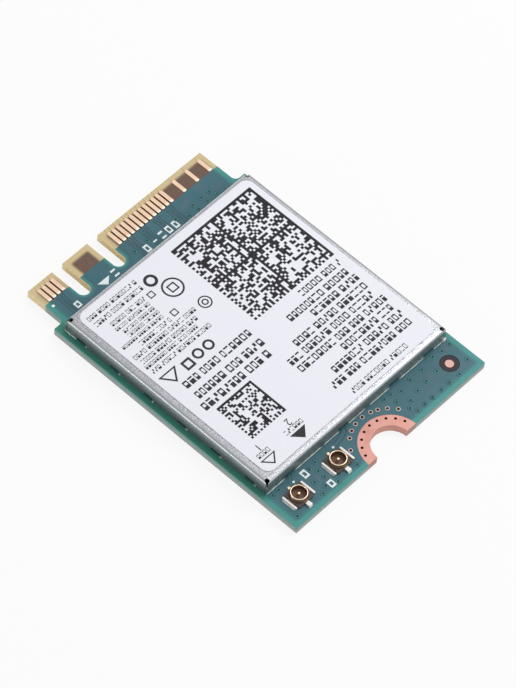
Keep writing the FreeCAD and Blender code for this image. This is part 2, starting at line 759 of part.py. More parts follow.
def make_card():
    pieces = [
        make_board(),
        make_contacts("contacts_top", UPPER_RUNS, upper_copper),
        make_contacts("contacts_bottom", LOWER_RUNS, lower_copper),
        make_screw_land(),
        make_ground_vias(),
        make_fiducial(),
        make_shield_can(),
        make_label(),
    ]
    pieces += make_receptacle("aux_antenna", aux_antenna)
    pieces += make_receptacle("main_antenna", main_antenna)
    pieces += make_inner_parts()
    for piece in pieces:
        piece.Label = piece.Name
    return pieces


def check(pieces):
    """Stop before writing anything if the document or a shape is unsound."""
    for item in doc.Objects:
        if {"Invalid", "Error"} & set(item.State):
            raise RuntimeError(f"{item.Name} failed: {item.State}")
    for piece in pieces:
        shape = piece.Shape
        if shape.isNull() or not shape.isValid() or not shape.Solids:
            raise RuntimeError(f"{piece.Label} has no sound solid")


def main():
    pieces = make_card()
    doc.recompute()
    check(pieces)
    os.makedirs("parts", exist_ok=True)
    for piece in pieces:
        piece.Shape.exportStep(os.path.join("parts", f"{piece.Label}.step"))
        print(f"{piece.Label}: {len(piece.Shape.Solids)} solids, {piece.Shape.Volume:.4f} mm3")


main()
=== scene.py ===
"""Looks of a small wireless network card: board, contacts, shield can, label and antenna receptacles.

Pieces are drawn in millimetres and kept in metres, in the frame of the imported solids.
"""

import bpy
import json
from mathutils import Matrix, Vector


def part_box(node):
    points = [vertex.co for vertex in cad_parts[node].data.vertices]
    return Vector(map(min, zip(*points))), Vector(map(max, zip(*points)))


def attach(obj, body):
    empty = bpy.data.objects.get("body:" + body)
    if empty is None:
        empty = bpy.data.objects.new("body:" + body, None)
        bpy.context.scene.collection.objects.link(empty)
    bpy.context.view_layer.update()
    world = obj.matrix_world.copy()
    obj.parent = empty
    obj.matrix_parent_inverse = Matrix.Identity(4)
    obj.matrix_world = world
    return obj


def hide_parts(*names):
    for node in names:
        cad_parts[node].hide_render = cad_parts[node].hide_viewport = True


bl_info = {
    "name": "Wireless network card",
    "version": (1, 0, 0),
    "blender": (4, 5, 0),
    "location": "3D View > Sidebar > Card",
    "description": "Builds the card's visible pieces, their finishes and a plain studio",
    "category": "Object",
}

import json
import math
import random
from functools import partial
from types import SimpleNamespace

import bmesh
import bpy
from mathutils import Matrix, Vector

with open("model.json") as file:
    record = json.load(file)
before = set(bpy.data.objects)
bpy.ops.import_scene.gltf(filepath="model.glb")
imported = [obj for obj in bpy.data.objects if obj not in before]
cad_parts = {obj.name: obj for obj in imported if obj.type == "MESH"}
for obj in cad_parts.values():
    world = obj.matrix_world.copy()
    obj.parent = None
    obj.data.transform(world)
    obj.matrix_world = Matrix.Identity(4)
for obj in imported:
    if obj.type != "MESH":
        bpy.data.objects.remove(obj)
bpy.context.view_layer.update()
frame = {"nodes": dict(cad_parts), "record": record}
MM = 0.001
BODY = "root"
# Facets round vias, collars and dots, marks and signs, and a receptacle's ring.
VIA_SIDES, SMALL_SIDES, ROUND_SIDES, RING_SIDES = 16, 20, 40, 48
# Degrees from point to point along the screw notch.
NOTCH_STEP = 4.0


# Properties


def linear(red, green, blue):
    """A colour's screen values of 0 to 255, as the linear values that shaders take."""
    parts = (part / 255 for part in (red, green, blue))
    return (*(p / 12.92 if p <= 0.04045 else ((p + 0.055) / 1.055) ** 2.4 for p in parts), 1.0)


def length(name, description, millimetres):
    return bpy.props.FloatProperty(
        name=name, description=description, default=millimetres * MM, unit="LENGTH", precision=5
    )


def turn(name, description, degrees):
    return bpy.props.FloatProperty(
        name=name, description=description, default=math.radians(degrees), unit="ROTATION"
    )


def amount(name, description, value):
    return bpy.props.FloatProperty(
        name=name, description=description, default=value, min=0.0, max=1.0, subtype="FACTOR"
    )


def power(name, description, watts):
    return bpy.props.FloatProperty(name=name, description=description, default=watts, min=0.0, unit="POWER")


def number(name, description, value):
    return bpy.props.IntProperty(name=name, description=description, default=value, min=0)


def colour(name, description, *screen):
    return bpy.props.FloatVectorProperty(
        name=name, description=description, default=linear(*screen), size=4, min=0.0, max=1.0, subtype="COLOR"
    )


def extent(node):
    """A node's size along each axis, in millimetres."""
    low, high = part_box(node)
    return (high - low) / MM


BOARD = extent("circuit_board")


class BoardSizes(bpy.types.PropertyGroup):
    width: length("Width", "Board across, side to side", BOARD.x)
    length: length("Length", "Board from the antenna edge to the contact edge", BOARD.y)
    thickness: length("Thickness", "Board from mask surface to mask surface", 0.8)
    tongue_width: length("Tongue width", "Contact tongue across", 19.85)
    tongue_length: length("Tongue length", "Contact edge to the shoulders", 4.0)
    shoulder_radius: length("Shoulder radius", "Fillet where the tongue meets a shoulder", 0.5)
    slot_width: length("Slot width", "Across a key slot", 1.2)
    slot_depth: length("Slot depth", "Contact edge to a key slot's round end", 3.5)
    first_slot: length("First slot", "Middle of the key slot nearest the first contact", -6.625)
    second_slot: length("Second slot", "Middle of the other key slot", -2.625)
    bare_tongue: length("Bare tongue", "Contact edge to the mask", 1.95)
    mask: length("Mask", "Laminate to the mask's surface over copper", 0.05)
    pour_rise: length("Pour rise", "Mask over copper above the mask beside it", 0.015)
    pour_inset: length("Pour inset", "Board's edge to the copper under the mask", 0.45)
    trace_gap: length("Trace gap", "Gap beside a trace in the copper under the mask", 0.08)
    trace_width: length("Trace width", "Trace between its two gaps", 0.14)
    inner_copper_end: length("Inner copper end", "Contact edge to the copper inside the laminate", 0.5)
    print_rise: length("Print rise", "White marks above the mask", 0.006)
    print_stroke: amount("Print stroke", "Stroke of a white mark, as a share of its sides", 0.24)
    filled_via: length("Filled via", "Radius of a filled via", 0.25)
    via_rise: length("Via rise", "Ring of a filled via above the mask", 0.014)


class ContactSizes(bpy.types.PropertyGroup):
    width: length("Width", "Across one contact finger", 0.35)
    pitch: length("Pitch", "Position to position, both faces counted", 0.25)
    thickness: length("Thickness", "Plated copper of fingers, land, collars and mark", 0.04)
    sunk: length("Sunk", "Mask surface above the plated copper", 0.01)
    root: length("Root", "Contact edge to a finger's root", 1.9)
    root_corner: length("Root corner", "Radius of the corners at a finger's root", 0.09)
    setback: length("Setback", "Contact edge to a finger's wide stretch", 0.45)
    stub: length("Stub", "Plating stub from a finger to the edge, across", 0.1)
    positions: number("Positions", "Contact positions of both faces", 75)


class LandSizes(bpy.types.PropertyGroup):
    notch_radius: length("Notch radius", "Screw notch inside its plating", 1.75)
    plating: length("Plating", "Copper on the notch's wall", 0.03)
    width: length("Width", "Notch wall to the land's rim", 1.0)
    via_radius: length("Via radius", "Open hole of a via", 0.1)
    via_plating: length("Via plating", "Wall of a via's barrel", 0.025)
    # Painted shade: a dark rim and a dark lining stand in for the shade inside a via's hole.
    via_shade_rim: length("Via rim", "Dark rim round a via's hole", 0.025)
    lining: length("Lining", "Dark lining inside a via's hole", 0.004)
    via_circle: length("Via circle", "Notch's centre to the land's row of vias", 2.42)
    via_step: turn("Via step", "Turn from one via of the land to the next", 18.0)
    via_count: number("Via count", "Vias in the land", 9)
    outer_circle: length("Outer circle", "Notch's centre to the outer row of vias", 3.35)
    collar: length("Collar", "Copper ring round an outer via", 0.075)
    mark_radius: length("Mark radius", "Round alignment mark", 0.368)
    mark_clearing: length("Mark clearing", "Bare ring round the mark", 0.462)


class CanSizes(bpy.types.PropertyGroup):
    height: length("Height", "Board to the can's upper face", 1.35)
    crown: length("Crown", "How far the upper face falls towards its folds", 0.022)
    crown_width: length("Crown width", "Fold to where the upper face is flat", 0.6)
    sheet: length("Sheet", "Thickness of the folded sheet", 0.13)
    fold: length("Fold", "Outside radius of the folds", 0.2)
    fold_steps: number("Fold steps", "Facets round a fold", 8)
    relief_radius: length("Relief radius", "Hole at a corner of the folds", 0.2)
    relief_inset: length("Relief inset", "Can's side to the relief hole's centre", 0.27)
    relief_depth: length("Relief depth", "How far the relief reaches down", 0.32)
    notch: length("Notch", "Opening from a relief hole to the corner, at the top", 0.24)
    far_notch: length("Far corner notch", "Opening at the top of the corner beside the last contact", 0.5)
    notch_depth: length("Notch depth", "How far the opening reaches down the corner", 0.55)
    slit: length("Slit", "Slit between neighbouring walls", 0.05)
    gap_height: length("Gap height", "Opening between two feet", 0.22)
    gap_corner: length("Gap corner", "Radius of the openings' upper corners", 0.05)
    side_gap: length("Side gap", "Opening in a side wall", 0.95)
    end_gap: length("End gap", "Opening in an end wall", 1.05)
    bead: length("Bead", "Radius of the solder along a foot", 0.046)
    bead_step: length("Bead step", "Distance between rings of a solder bead", 0.08)
    bead_offset: length("Bead offset", "Can's wall to the solder along its foot", 0.05)
    unevenness: amount("Unevenness", "How much a solder bead swells and shrinks", 0.5)
    foot_dot: length("Foot dot", "Solder seen at the end of a left foot", 0.22)
    corner_bead: length("Corner bead", "Radius of the solder at the last near corner", 0.13)


class LabelSizes(bpy.types.PropertyGroup):
    corner: length("Corner", "Radius of the sticker's corners", 0.8)
    edge: length("Edge", "Rounding of the sticker's cut edge", 0.02)
    ink: length("Ink", "Thickness of the print", 0.004)
    spread: length("Spread", "How far the print of a code's module runs", 0.015)
    share: amount("Share", "Share of a code's modules that are printed", 0.39)
    bold_stroke: amount("Bold stroke", "Stroke of the large print, as a share of a mark's sides", 0.205)
    fine_stroke: amount("Fine stroke", "Stroke of the small print, as a share of a mark's sides", 0.14)
    seed: number("Seed", "Choice of the print's marks and modules", 7)


class ReceptacleSizes(bpy.types.PropertyGroup):
    ring_radius: length("Ring radius", "Outside of the ring", 0.72)
    ring_wall: length("Ring wall", "Thickness of the ring", 0.1)
    groove: length("Groove", "Depth of the clip groove round the ring", 0.03)
    height: length("Height", "Board to the ring's upper edge", 0.6)
    lift: length("Lift", "Board to the shell's straps", 0.12)
    sheet: length("Sheet", "Thickness of the shell's straps", 0.09)
    bend: length("Bend", "Radius of the edges of legs and foot", 0.045)
    edge: length("Edge", "Rounding of straps, neck and insulator", 0.02)
    leg_reach: length("Leg reach", "Ring's centre to the outside of a side leg", 1.15)
    leg_width: length("Leg width", "Side leg, across", 0.22)
    leg_length: length("Leg length", "Side leg, along the card", 1.5)
    strap_width: length("Strap width", "Strap from the ring to a side leg", 0.7)
    foot_reach: length("Foot reach", "Ring's centre to the end of the front foot", 1.3)
    foot_width: length("Foot width", "Front foot, across", 0.42)
    insulator: length("Insulator", "Insulator, each way", 1.7)
    corner: length("Corner", "Radius of the insulator's corners", 0.12)
    pin_radius: length("Pin radius", "Centre contact's pin", 0.13)
    pin_height: length("Pin height", "Board to the pin's tip", 0.5)
    pin_tip: length("Pin tip", "Rounding of the pin's tip", 0.08)
    signal_reach: length("Signal reach", "Ring's centre to the end of the signal foot", 1.1)
    signal_width: length("Signal width", "Signal foot, across", 0.26)
    signal_sheet: length("Signal sheet", "Thickness of the signal foot", 0.08)
    signal_edge: length("Signal edge", "Radius of the signal foot's edges", 0.025)
    joint: length("Joint", "Radius of the solder along a leg", 0.07)
    joint_step: length("Joint step", "Distance between rings of a joint", 0.06)
    unevenness: amount("Unevenness", "How much a joint swells and shrinks", 0.3)


class CardColours(bpy.types.PropertyGroup):
    mask_pour: colour("Mask over copper", "Solder mask where copper lies under it", 62, 108, 120)
    mask_pour_dark: colour("Mask over copper, deep", "Deeper clouds of the mask over copper", 50, 100, 108)
    mask_bare: colour("Mask over laminate", "Solder mask where no copper lies under it", 68, 148, 146)
    # Deeper clouds of the bare mask, and also painted shade along the can's left wall.
    mask_bare_deep_and_shade: colour("Mask over laminate, deep", "Deeper mask, also in the can's shade", 54, 128, 104)
    mask_pour_warm: colour("Mask over copper, warm", "Greyer clouds of the mask over copper", 90, 106, 118)
    # Painted shade: the mask under the can is painted near black, for the can's shade.
    under_can_shade: colour("Mask under the can", "Solder mask in the dark under the can", 10, 26, 24)
    via_fill: colour("Via fill", "Sunk middle of a filled via", 14, 60, 66)
    # Partly painted highlight: the raised ring is painted lighter than the mask, for the light on its slope.
    via_ring_highlight: colour("Via ring", "Raised ring of a filled via", 72, 134, 138)
    # Painted shade: the mask in the narrow gaps beside traces is painted dark, for the shade in them.
    mask_gap_shade: colour("Mask in a gap", "Solder mask in the narrow gaps beside traces", 14, 48, 62)
    laminate: colour("Laminate", "Bare glass-fibre laminate", 214, 194, 150)
    # Partly painted light: the tongue's cut front is painted paler than the laminate, brightening faces that sit
    # in shade.
    laminate_edge: colour("Laminate edge", "Cut edge of the tongue", 240, 220, 172)
    inner_copper: colour("Inner copper", "Laminate with copper inside it", 110, 86, 76)
    edge_upper: colour("Cut edge, upper", "Cut edge of the board next to the upper mask", 104, 158, 150)
    edge_lower: colour("Cut edge, lower", "Cut edge of the board below that", 170, 176, 174)
    edge_layers: colour("Cut edge, layers", "Glass layers and copper in the cut edge", 112, 122, 114)
    # Painted shade: the narrow gaps between fingers are painted dark brown, for the shadow in them.
    between: colour("Between fingers", "Laminate in the narrow gaps between fingers", 62, 34, 14)
    gold: colour("Contact gold", "Plating of the contact fingers", 222, 194, 168)
    gold_worn: colour("Contact gold, rubbed", "Where a socket has rubbed the plating", 200, 162, 130)
    gold_pale: colour("Contact gold, pale", "Plating at a finger's root", 236, 228, 212)
    copper: colour("Bare copper", "Screw land", 206, 152, 140)
    copper_dull: colour("Bare copper, dull", "Tarnish on the bare copper", 184, 126, 112)
    mark: colour("Alignment mark", "Slightly paler copper of the mark", 205, 162, 154)
    eyelet: colour("Eyelet", "Paler rims of the eyelets beside the land", 190, 178, 174)
    # Painted shade: the inside of a via is painted dark brown, for the shade in the hole.
    via_wall: colour("Via wall", "Inside of a via", 78, 30, 25)
    edge_plated: colour("Plated edge", "Board's side beside the screw notch", 172, 138, 135)
    mark_ring: colour("Mark ring", "Bare laminate round the alignment mark", 60, 55, 60)
    tinned: colour("Tinned sheet", "Shield can", 190, 191, 196)
    tinned_dark: colour("Tinned sheet, dull", "Duller specks of the shield can", 138, 139, 143)
    # Painted shade: the walls are a darker copy of the tinned sheet, and the feet a darker, greener copy that
    # stands in for the board's reflection.
    tinned_wall_shade: colour("Tinned sheet, walls", "Walls of the shield can below their folds", 158, 164, 166)
    tinned_foot_shade: colour("Tinned sheet, feet", "Walls of the shield can near the board", 112, 122, 122)
    solder: colour("Solder", "Solder and tinned ends", 210, 220, 212)
    film: colour("Label film", "Sticker", 243, 244, 252)
    film_dull: colour("Label film, dull", "Fibres and smudges of the sticker", 232, 233, 241)
    ink: colour("Ink", "Print of the sticker", 42, 41, 45)
    # Painted light and shade: the ring's walls are a dark copy of the plating, for the dark reflections on them,
    # and its lip a bright copy, a painted highlight.
    shell: colour("Plated shell", "Ring of a receptacle", 126, 104, 84)
    # The pin and the signal foot take the bright copy too, partly their own gold and partly a painted highlight.
    plating_and_lip_highlight: colour("Plated lip", "Rubbed lip of a receptacle's ring, and its pin", 234, 214, 186)
    legs: colour("Tinned legs", "Legs of a receptacle", 226, 222, 218)
    moulding: colour("Dark moulding", "Insulator of a receptacle", 74, 64, 60)
    # Painted bounce light: the insulator inside a ring is painted warm brown, for the light the plating throws
    # onto it.
    ring_floor: colour("Ring floor", "Insulator inside a ring, warm from the plating round it", 112, 84, 64)
    chip: colour("Chip moulding", "Chips under the can", 44, 44, 47)
    pale_ceramic: colour("Pale ceramic", "Crystal base and filters", 218, 212, 200)
    tan_ceramic: colour("Tan ceramic", "Capacitors", 178, 154, 128)
    ferrite: colour("Grey ferrite", "Power inductors", 128, 128, 131)
    legend: colour("Legend", "White marks printed on the mask", 240, 250, 250)


class StageSettings(bpy.types.PropertyGroup):
    azimuth: turn("Azimuth", "Camera's turn about the card", -52.937)
    elevation: turn("Elevation", "Camera's height above the card", 54.992)
    roll: turn("Roll", "Camera's turn about its own line of sight", 7.086)
    distance: length("Distance", "Camera to the point that it looks at", 339.493)
    target: bpy.props.FloatVectorProperty(
        name="Target",
        description="Point that the camera looks at",
        default=(-0.352 * MM, -1.061 * MM, 0.4 * MM),
        size=3,
        subtype="TRANSLATION",
        unit="LENGTH",
    )
    lens: bpy.props.FloatProperty(
        name="Lens", description="Camera's focal length in millimetres", default=225.056, unit="CAMERA"
    )
    floor: length("Floor", "Floor, each way", 900.0)
    sky: amount("Sky", "Light from all round", 0.56)
    key: power("Key", "Soft lamp high on the last contact's side", 0.22)
    fill: power("Fill", "Large soft lamp low on the antenna side", 0.1)
    edge: power("Edge", "Small lamp low on the first contact's side", 0.085)
    far: power("Far", "Small lamp low behind the contact edge", 0.036)
    glow: amount("Glow", "Share of the floor's white that no shadow darkens", 0.85)


def drawn(group):
    """A group's values as plain numbers, with lengths in millimetres."""
    values = {}
    for key, row in group.bl_rna.properties.items():
        if key in ("rna_type", "name"):
            continue
        value = getattr(group, key)
        values[key] = value / MM if row.unit == "LENGTH" and row.array_length == 0 else value
    return SimpleNamespace(**values)


def finger_places(runs):
    """Places across the card of the fingers in runs of positions, in millimetres."""
    s = drawn(bpy.context.scene.card_contacts)
    middle = (s.positions + 1) / 2
    return [(first + i * step - middle) * s.pitch for first, many, step in runs for i in range(many)]


# Places measured on the card, in millimetres

# Runs of fingers: first position, how many, and the step in positions.
UPPER_RUNS = ((1, 4, 2), (33, 13, 2), (63, 3, 6))
LOWER_RUNS = ((2, 3, 2), (16, 4, 2), (32, 22, 2))
# Turn of each via of the outer row about the notch, in degrees from the card's length.
OUTER_VIA_TURNS = (-55.8, -36.3, -24.0, -11.6, 3.1, 17.4, 27.9, 41.4, 56.3)
# Filled vias under the upper mask.
FILLED_VIAS = (
    (2.62, -11.78), (3.35, -11.8), (4.2, -12.15), (5.5, -11.93), (6.87, -11.93), (8.42, -11.72), (9.35, -11.87),
    (10.3, -11.82), (3.15, -12.6), (4.1, -13.25), (5.15, -13.05), (6.33, -12.93), (7.62, -12.88), (3.5, -13.72),
    (3.75, -14.3), (4.62, -14.3), (5.52, -14.3), (6.55, -14.3), (7.52, -14.28), (8.7, -14.3), (10.2, -13.82),
    (-10.2, -14.3), (-9.47, -11.65), (-10.2, -11.7), (-7.25, -14.3), (-6.01, -12.62), (-6.06, -13.33),
    (-6.41, -12.05), (-6.97, -13.12), (-6.6, -13.94), (-5.6, -14.36), (-5.6, -11.9), (-3.4, -14.35),
    (-1.05, 11.8), (0.45, 11.85), (3.6, 11.7), (4.6, 11.2), (5.6, 11.7), (6.65, 11.72),
    (7.55, 11.75), (5.7, 11.1), (6.8, 11.15), (7.9, 11.15),
)  # fmt: skip
# A filled via's profile, from its sunk middle outwards, as shares of its radius and its rise.
VIA_PROFILE = ((0.0, 0.1), (0.34, 0.15), (0.5, 0.9), (0.62, 1.0), (0.78, 0.9), (1.0, -0.2), (0.0, -0.8))
# Middle of each pair of traces that leaves the fingers.
TRACE_PAIRS = (-8.5, -0.5, 1.0, 2.5, 4.0)
# A trace's distance from its pair's middle, at the fingers and at the can.
PAIR_WIDE, PAIR_NARROW = 0.25, 0.19
# Mask's end to where a pair starts, bends and runs straight again, and shoulders to its end under the can.
PAIR_START, PAIR_BEND, PAIR_STRAIGHT, PAIR_END = 0.08, 0.3, 0.6, 0.75
# Gaps beside the traces from the receptacles to the can.
ANTENNA_GAPS = (
    ((-8.45, -11.75), (-8.05, -11.3), (-8.0, -11.1)),
    ((-8.2, -11.95), (-7.75, -11.35), (-7.7, -11.1)),
    (
        (-3.3, -12.11), (-2.99, -12.07), (-2.55, -12.0), (-2.08, -11.86),
        (-1.71, -11.66), (-1.48, -11.4), (-1.35, -11.1),
    ),
    ((-3.35, -11.71), (-2.93, -11.69), (-2.46, -11.58), (-2.13, -11.46), (-1.9, -11.28), (-1.8, -11.1)),
)  # fmt: skip
MARK_PLACE = (8.9, -13.09)
# Centre of each receptacle's ring.
RECEPTACLES = {"aux": (-8.79, -13.125), "main": (-4.29, -13.125)}
# Heights of the clip groove's corners, as shares of the ring's height.
GROOVE_HEIGHTS = (0.5, 0.56, 0.7, 0.76)
# Middles of the openings in the can's side walls and end walls.
SIDE_GAPS = (-9.5, -5.88, -2.26, 1.36, 4.98, 8.6)
END_GAPS = (-7.8, -1.6, 4.35, 8.45)
# How the can's upper face rises from its folds to its flat middle, in three even steps.
CROWN_STEPS = (0.45, 0.35, 0.2)
# How far cutters reach past the can: gaps and slits beyond its walls and below its feet,
# and the others right out of it.
BEYOND, BELOW, RIGHT_OUT = 0.3, 0.5, 1.0
# Solder along the near wall, from and to.
NEAR_BEADS = (
    (-10.43, -8.39), (-7.2, -4.14), (-3.9, -2.15), (-1.05, 0.93), (1.43, 3.78), (4.92, 7.88), (9.02, 10.43),
)  # fmt: skip
# Solder round the last near corner, counted from that corner.
CORNER_RUN = ((-0.4, 0.0), (-0.1, 0.0), (0.0, 0.1), (0.0, 0.3))
# White dots beside the first contact and the receptacles: middle and radius.
LEGEND_DOTS = ((-9.5, 12.6, 0.13), (-8.1, -11.97, 0.11), (-3.54, -11.96, 0.11))
# A white arrow head and a dash, as outlines.
LEGEND_SOLIDS = (
    ((-5.5, 11.6), (-4.2, 11.6), (-4.87, 11.0)),
    ((0.68, 11.31), (1.08, 11.31), (1.08, 11.45), (0.68, 11.45)),
)
# Plain white marks: middle, width and height.
LEGEND_FRAMES = (
    (-8.0, 11.35, 0.5, 0.6), (-6.95, -12.08, 0.54, 0.74), (-6.1, -14.12, 0.52, 0.68),
    (-0.1, 11.3, 0.48, 0.72), (2.48, 11.4, 0.48, 0.72), (3.25, 11.38, 0.48, 0.72),
)  # fmt: skip
LEGEND_BARS = ((-3.68, 11.45, 0.5, 0.7), (1.72, 11.4, 0.46, 0.72))
# The label's print, large and small: rows of marks as low x, high x, middle y and height.
BOLD_ROWS = (
    (4.55, 9.25, -0.9, 0.62), (2.1, 9.25, -1.92, 0.66), (3.85, 9.25, -2.87, 0.66), (0.7, 9.25, -3.87, 0.66),
    (-0.95, 9.25, -4.82, 0.66), (-0.85, 9.25, -5.78, 0.66), (3.15, 9.25, -6.73, 0.66), (1.0, 9.25, -7.68, 0.66),
    (-0.15, 9.25, -8.66, 0.66), (-8.4, -0.95, -0.55, 0.7), (-8.4, -1.0, -1.85, 0.72), (-8.85, -0.9, -2.97, 0.75),
)  # fmt: skip
FINE_ROWS = (
    (0.6, 7.05, -10.05, 0.5), (-9.3, -3.85, 9.05, 0.42), (-9.25, -3.8, 8.3, 0.45), (-8.3, -4.5, 7.45, 0.42),
    (-8.4, -4.55, 6.85, 0.33), (-8.1, -4.55, 6.3, 0.33), (-8.1, -4.55, 5.8, 0.33), (-9.3, -4.55, 5.27, 0.33),
    (-8.0, -4.5, 4.63, 0.42), (-9.35, -2.15, 3.97, 0.42), (-9.2, -2.8, 3.3, 0.42), (-9.35, -3.2, 2.72, 0.36),
    (-9.25, -2.45, 2.1, 0.42), (-9.2, -7.8, -9.08, 0.42), (-6.1, -4.2, -9.08, 0.42),
)  # fmt: skip
# Marks of a row: widths to choose from, gaps after a mark and after a word, as shares of the row's height.
MARK_WIDTHS, MARK_GAP, WORD_GAP = (0.5, 0.58, 0.66), 0.2, 0.35
# How often each kind of mark comes up, and the fewest and most marks in a word.
MARK_WEIGHTS, WORD_LENGTHS = (3, 1, 3, 2, 1), (3, 8)
# Printed codes: low corner, side lengths, modules along a side and regions along a side.
CODES = (((0.18, -0.15), (9.2, 9.25), 44, 2), ((-8.2, -7.6), (3.85, 3.85), 22, 1))
# The label's plain signs. Rings: centre, radius and stroke. Squares: middle, side and stroke.
SIGN_RINGS = (
    (-2.2, 6.6, 0.95, 0.16), (-3.0, 8.27, 0.6, 0.26), (-1.4, 3.85, 0.6, 0.12),
    (-1.4, 3.85, 0.3, 0.12), (-5.4, 0.85, 0.5, 0.2), (-4.2, 0.85, 0.5, 0.2),
)  # fmt: skip
SIGN_SQUARES = (
    (-2.2, 6.6, 0.8, 0.13), (-3.95, 7.3, 0.6, 0.1), (-3.88, 4.85, 0.6, 0.1), (-6.65, 0.7, 0.95, 0.2),
)  # fmt: skip
# Triangles: middle across, base, apex, half the base, and the stroke as a share, or 0 for a solid one.
SIGN_TRIANGLES = (
    (-8.45, 1.35, 0.1, 0.95, 0.3), (-8.58, -9.5, -10.4, 0.82, 0.3), (-5.15, -9.5, -10.4, 0.85, 0.0),
)  # fmt: skip
# Numbers at the two arrow heads: text, middle and height.
SIGN_NUMBERS = (("1", -8.5, -8.45, 0.95), ("2", -5.1, -8.45, 0.95))
# Lamps: name, place and size in metres, and the setting with its power.
LAMPS = (
    ("Key lamp", (0.15, -0.015, 0.187), 0.14, "key"),
    ("Fill lamp", (0.02, -0.24, 0.12), 0.2, "fill"),
    ("Edge lamp", (-0.22, 0.082, 0.034), 0.05, "edge"),
    ("Far lamp", (0.115, 0.2, 0.09), 0.05, "far"),
)


# Nodes


def fill(socket, value):
    """Links a wire into a socket, or sets the socket's own value."""
    if isinstance(value, Wire):
        value.tree.links.new(value.socket, socket)
    else:
        socket.default_value = value


class Wire:
    """A node's output; sums on it are written in Python and add their own Math nodes."""

    def __init__(self, tree, socket):
        self.tree = tree
        self.socket = socket

    def node(self, kind, settings=None, inputs=None, output=0):
        """A new node's output, with the node's settings made before its sockets are filled."""
        made = self.tree.nodes.new(kind)
        for key, value in (settings or {}).items():
            setattr(made, key, value)
        for key, value in (inputs or {}).items():
            fill(made.inputs[key], value)
        return Wire(self.tree, made.outputs[output])

    def math(self, operation, *values):
        return self.node("ShaderNodeMath", {"operation": operation}, dict(enumerate(values)))

    def __add__(self, other):
        return self.math("ADD", self, other)

    __radd__ = __add__

    def __sub__(self, other):
        return self.math("SUBTRACT", self, other)

    def __rsub__(self, other):
        return self.math("SUBTRACT", other, self)

    def __mul__(self, other):
        return self.math("MULTIPLY", self, other)

    __rmul__ = __mul__

    def __gt__(self, other):
        return self.math("GREATER_THAN", self, other)

    def __lt__(self, other):
        return self.math("LESS_THAN", self, other)

    def __abs__(self):
        return self.math("ABSOLUTE", self)

    def root(self):
        return self.math("SQRT", self)

    def most(self, other):
        return self.math("MAXIMUM", self, other)

    def least(self, other):
        return self.math("MINIMUM", self, other)

    def step(self, low, high, to_low=0.0, to_high=1.0):
        """A soft step from to_low to to_high as this goes from low to high."""
        ends = {0: self, 1: low, 2: high, 3: to_low, 4: to_high}
        return self.node("ShaderNodeMapRange", {"interpolation_type": "SMOOTHSTEP"}, ends)

    def blend(self, low, high):
        """The colour between low and high at this factor."""
        return self.node("ShaderNodeMix", {"data_type": "RGBA"}, {0: self, 6: low, 7: high}, 2)


class Finish:
    """A material in the making, with the card's own coordinates in millimetres."""

    def __init__(self, name):
        self.material = bpy.data.materials.new(name)
        self.material.use_nodes = True
        tree = self.material.node_tree
        self.shader = tree.nodes["Principled BSDF"]
        metres = Wire(tree, tree.nodes.new("ShaderNodeTexCoord").outputs["Object"])
        self.place = metres.node("ShaderNodeVectorMath", {"operation": "SCALE"}, {0: metres, "Scale": 1 / MM})
        self.x, self.y, self.z = (
            self.place.node("ShaderNodeSeparateXYZ", None, {0: self.place}, axis) for axis in range(3)
        )

    def noise(self, scale, detail=2.0, roughness=0.5, stretch=(1.0, 1.0, 1.0)):
        """Cloudy values about 0.5, scale to the millimetre, drawn out by stretch."""
        place = self.place.node("ShaderNodeVectorMath", {"operation": "MULTIPLY"}, {0: self.place, 1: stretch})
        inputs = {"Vector": place, "Scale": scale, "Detail": detail, "Roughness": roughness}
        return place.node("ShaderNodeTexNoise", None, inputs)

    def inside(self, low_x, high_x, low_y, high_y, soft):
        """1 within a rectangle of the card and 0 outside it, with soft edges."""
        across = self.x.step(low_x - soft, low_x + soft) * self.x.step(high_x - soft, high_x + soft, 1.0, 0.0)
        along = self.y.step(low_y - soft, low_y + soft) * self.y.step(high_y - soft, high_y + soft, 1.0, 0.0)
        return across * along

    def give(self, **values):
        """Fills the shader's sockets, named with underscores for spaces."""
        for key, value in values.items():
            fill(self.shader.inputs[key.replace("_", " ")], value)
        return self

    def bump(self, height, millimetres, strength=1.0):
        """Raises the surface by up to the given millimetres where height is 1."""
        inputs = {"Strength": strength, "Distance": millimetres * MM, "Height": height}
        fill(self.shader.inputs["Normal"], height.node("ShaderNodeBump", None, inputs))
        return self


def new_tree(name, sockets):
    """A Geometry Nodes tree and its named inputs."""
    tree = bpy.data.node_groups.new(name, "GeometryNodeTree")
    tree.interface.new_socket("Geometry", in_out="OUTPUT", socket_type="NodeSocketGeometry")
    for label, kind in sockets.items():
        tree.interface.new_socket(label, in_out="INPUT", socket_type=f"NodeSocket{kind}")
    given = tree.nodes.new("NodeGroupInput")
    return tree, {label: Wire(tree, given.outputs[label]) for label in sockets}


def end_tree(made, finish):
    """Makes copies real, gives them their finish and ends the tree."""
    real = made.node("GeometryNodeRealizeInstances", None, {0: made})
    last = real.node("GeometryNodeSetMaterial", None, {"Geometry": real, "Material": finish})
    last.tree.links.new(last.socket, last.tree.nodes.new("NodeGroupOutput").inputs[0])


def repeat_tree():
    """Copies a shape to points, each in its own size, leaving out a random share of them."""
    tree, given = new_tree(
        "Repeat shape",
        {"Points": "Geometry", "Shape": "Object", "Share": "Float", "Seed": "Int", "Finish": "Material"},
    )
    points = given["Points"]
    shape = points.node("GeometryNodeObjectInfo", None, {"Object": given["Shape"]}, "Geometry")
    draw = points.node("FunctionNodeRandomValue", {"data_type": "FLOAT"}, {2: 0.0, 3: 1.0, 8: given["Seed"]}, 1)
    kept = points.node("GeometryNodeDeleteGeometry", {"domain": "POINT"}, {0: points, 1: draw > given["Share"]})
    size = points.node("GeometryNodeInputNamedAttribute", {"data_type": "FLOAT_VECTOR"}, {"Name": "size"})
    copies = kept.node("GeometryNodeInstanceOnPoints", None, {"Points": kept, "Instance": shape, "Scale": size})
    end_tree(copies, given["Finish"])
    return tree


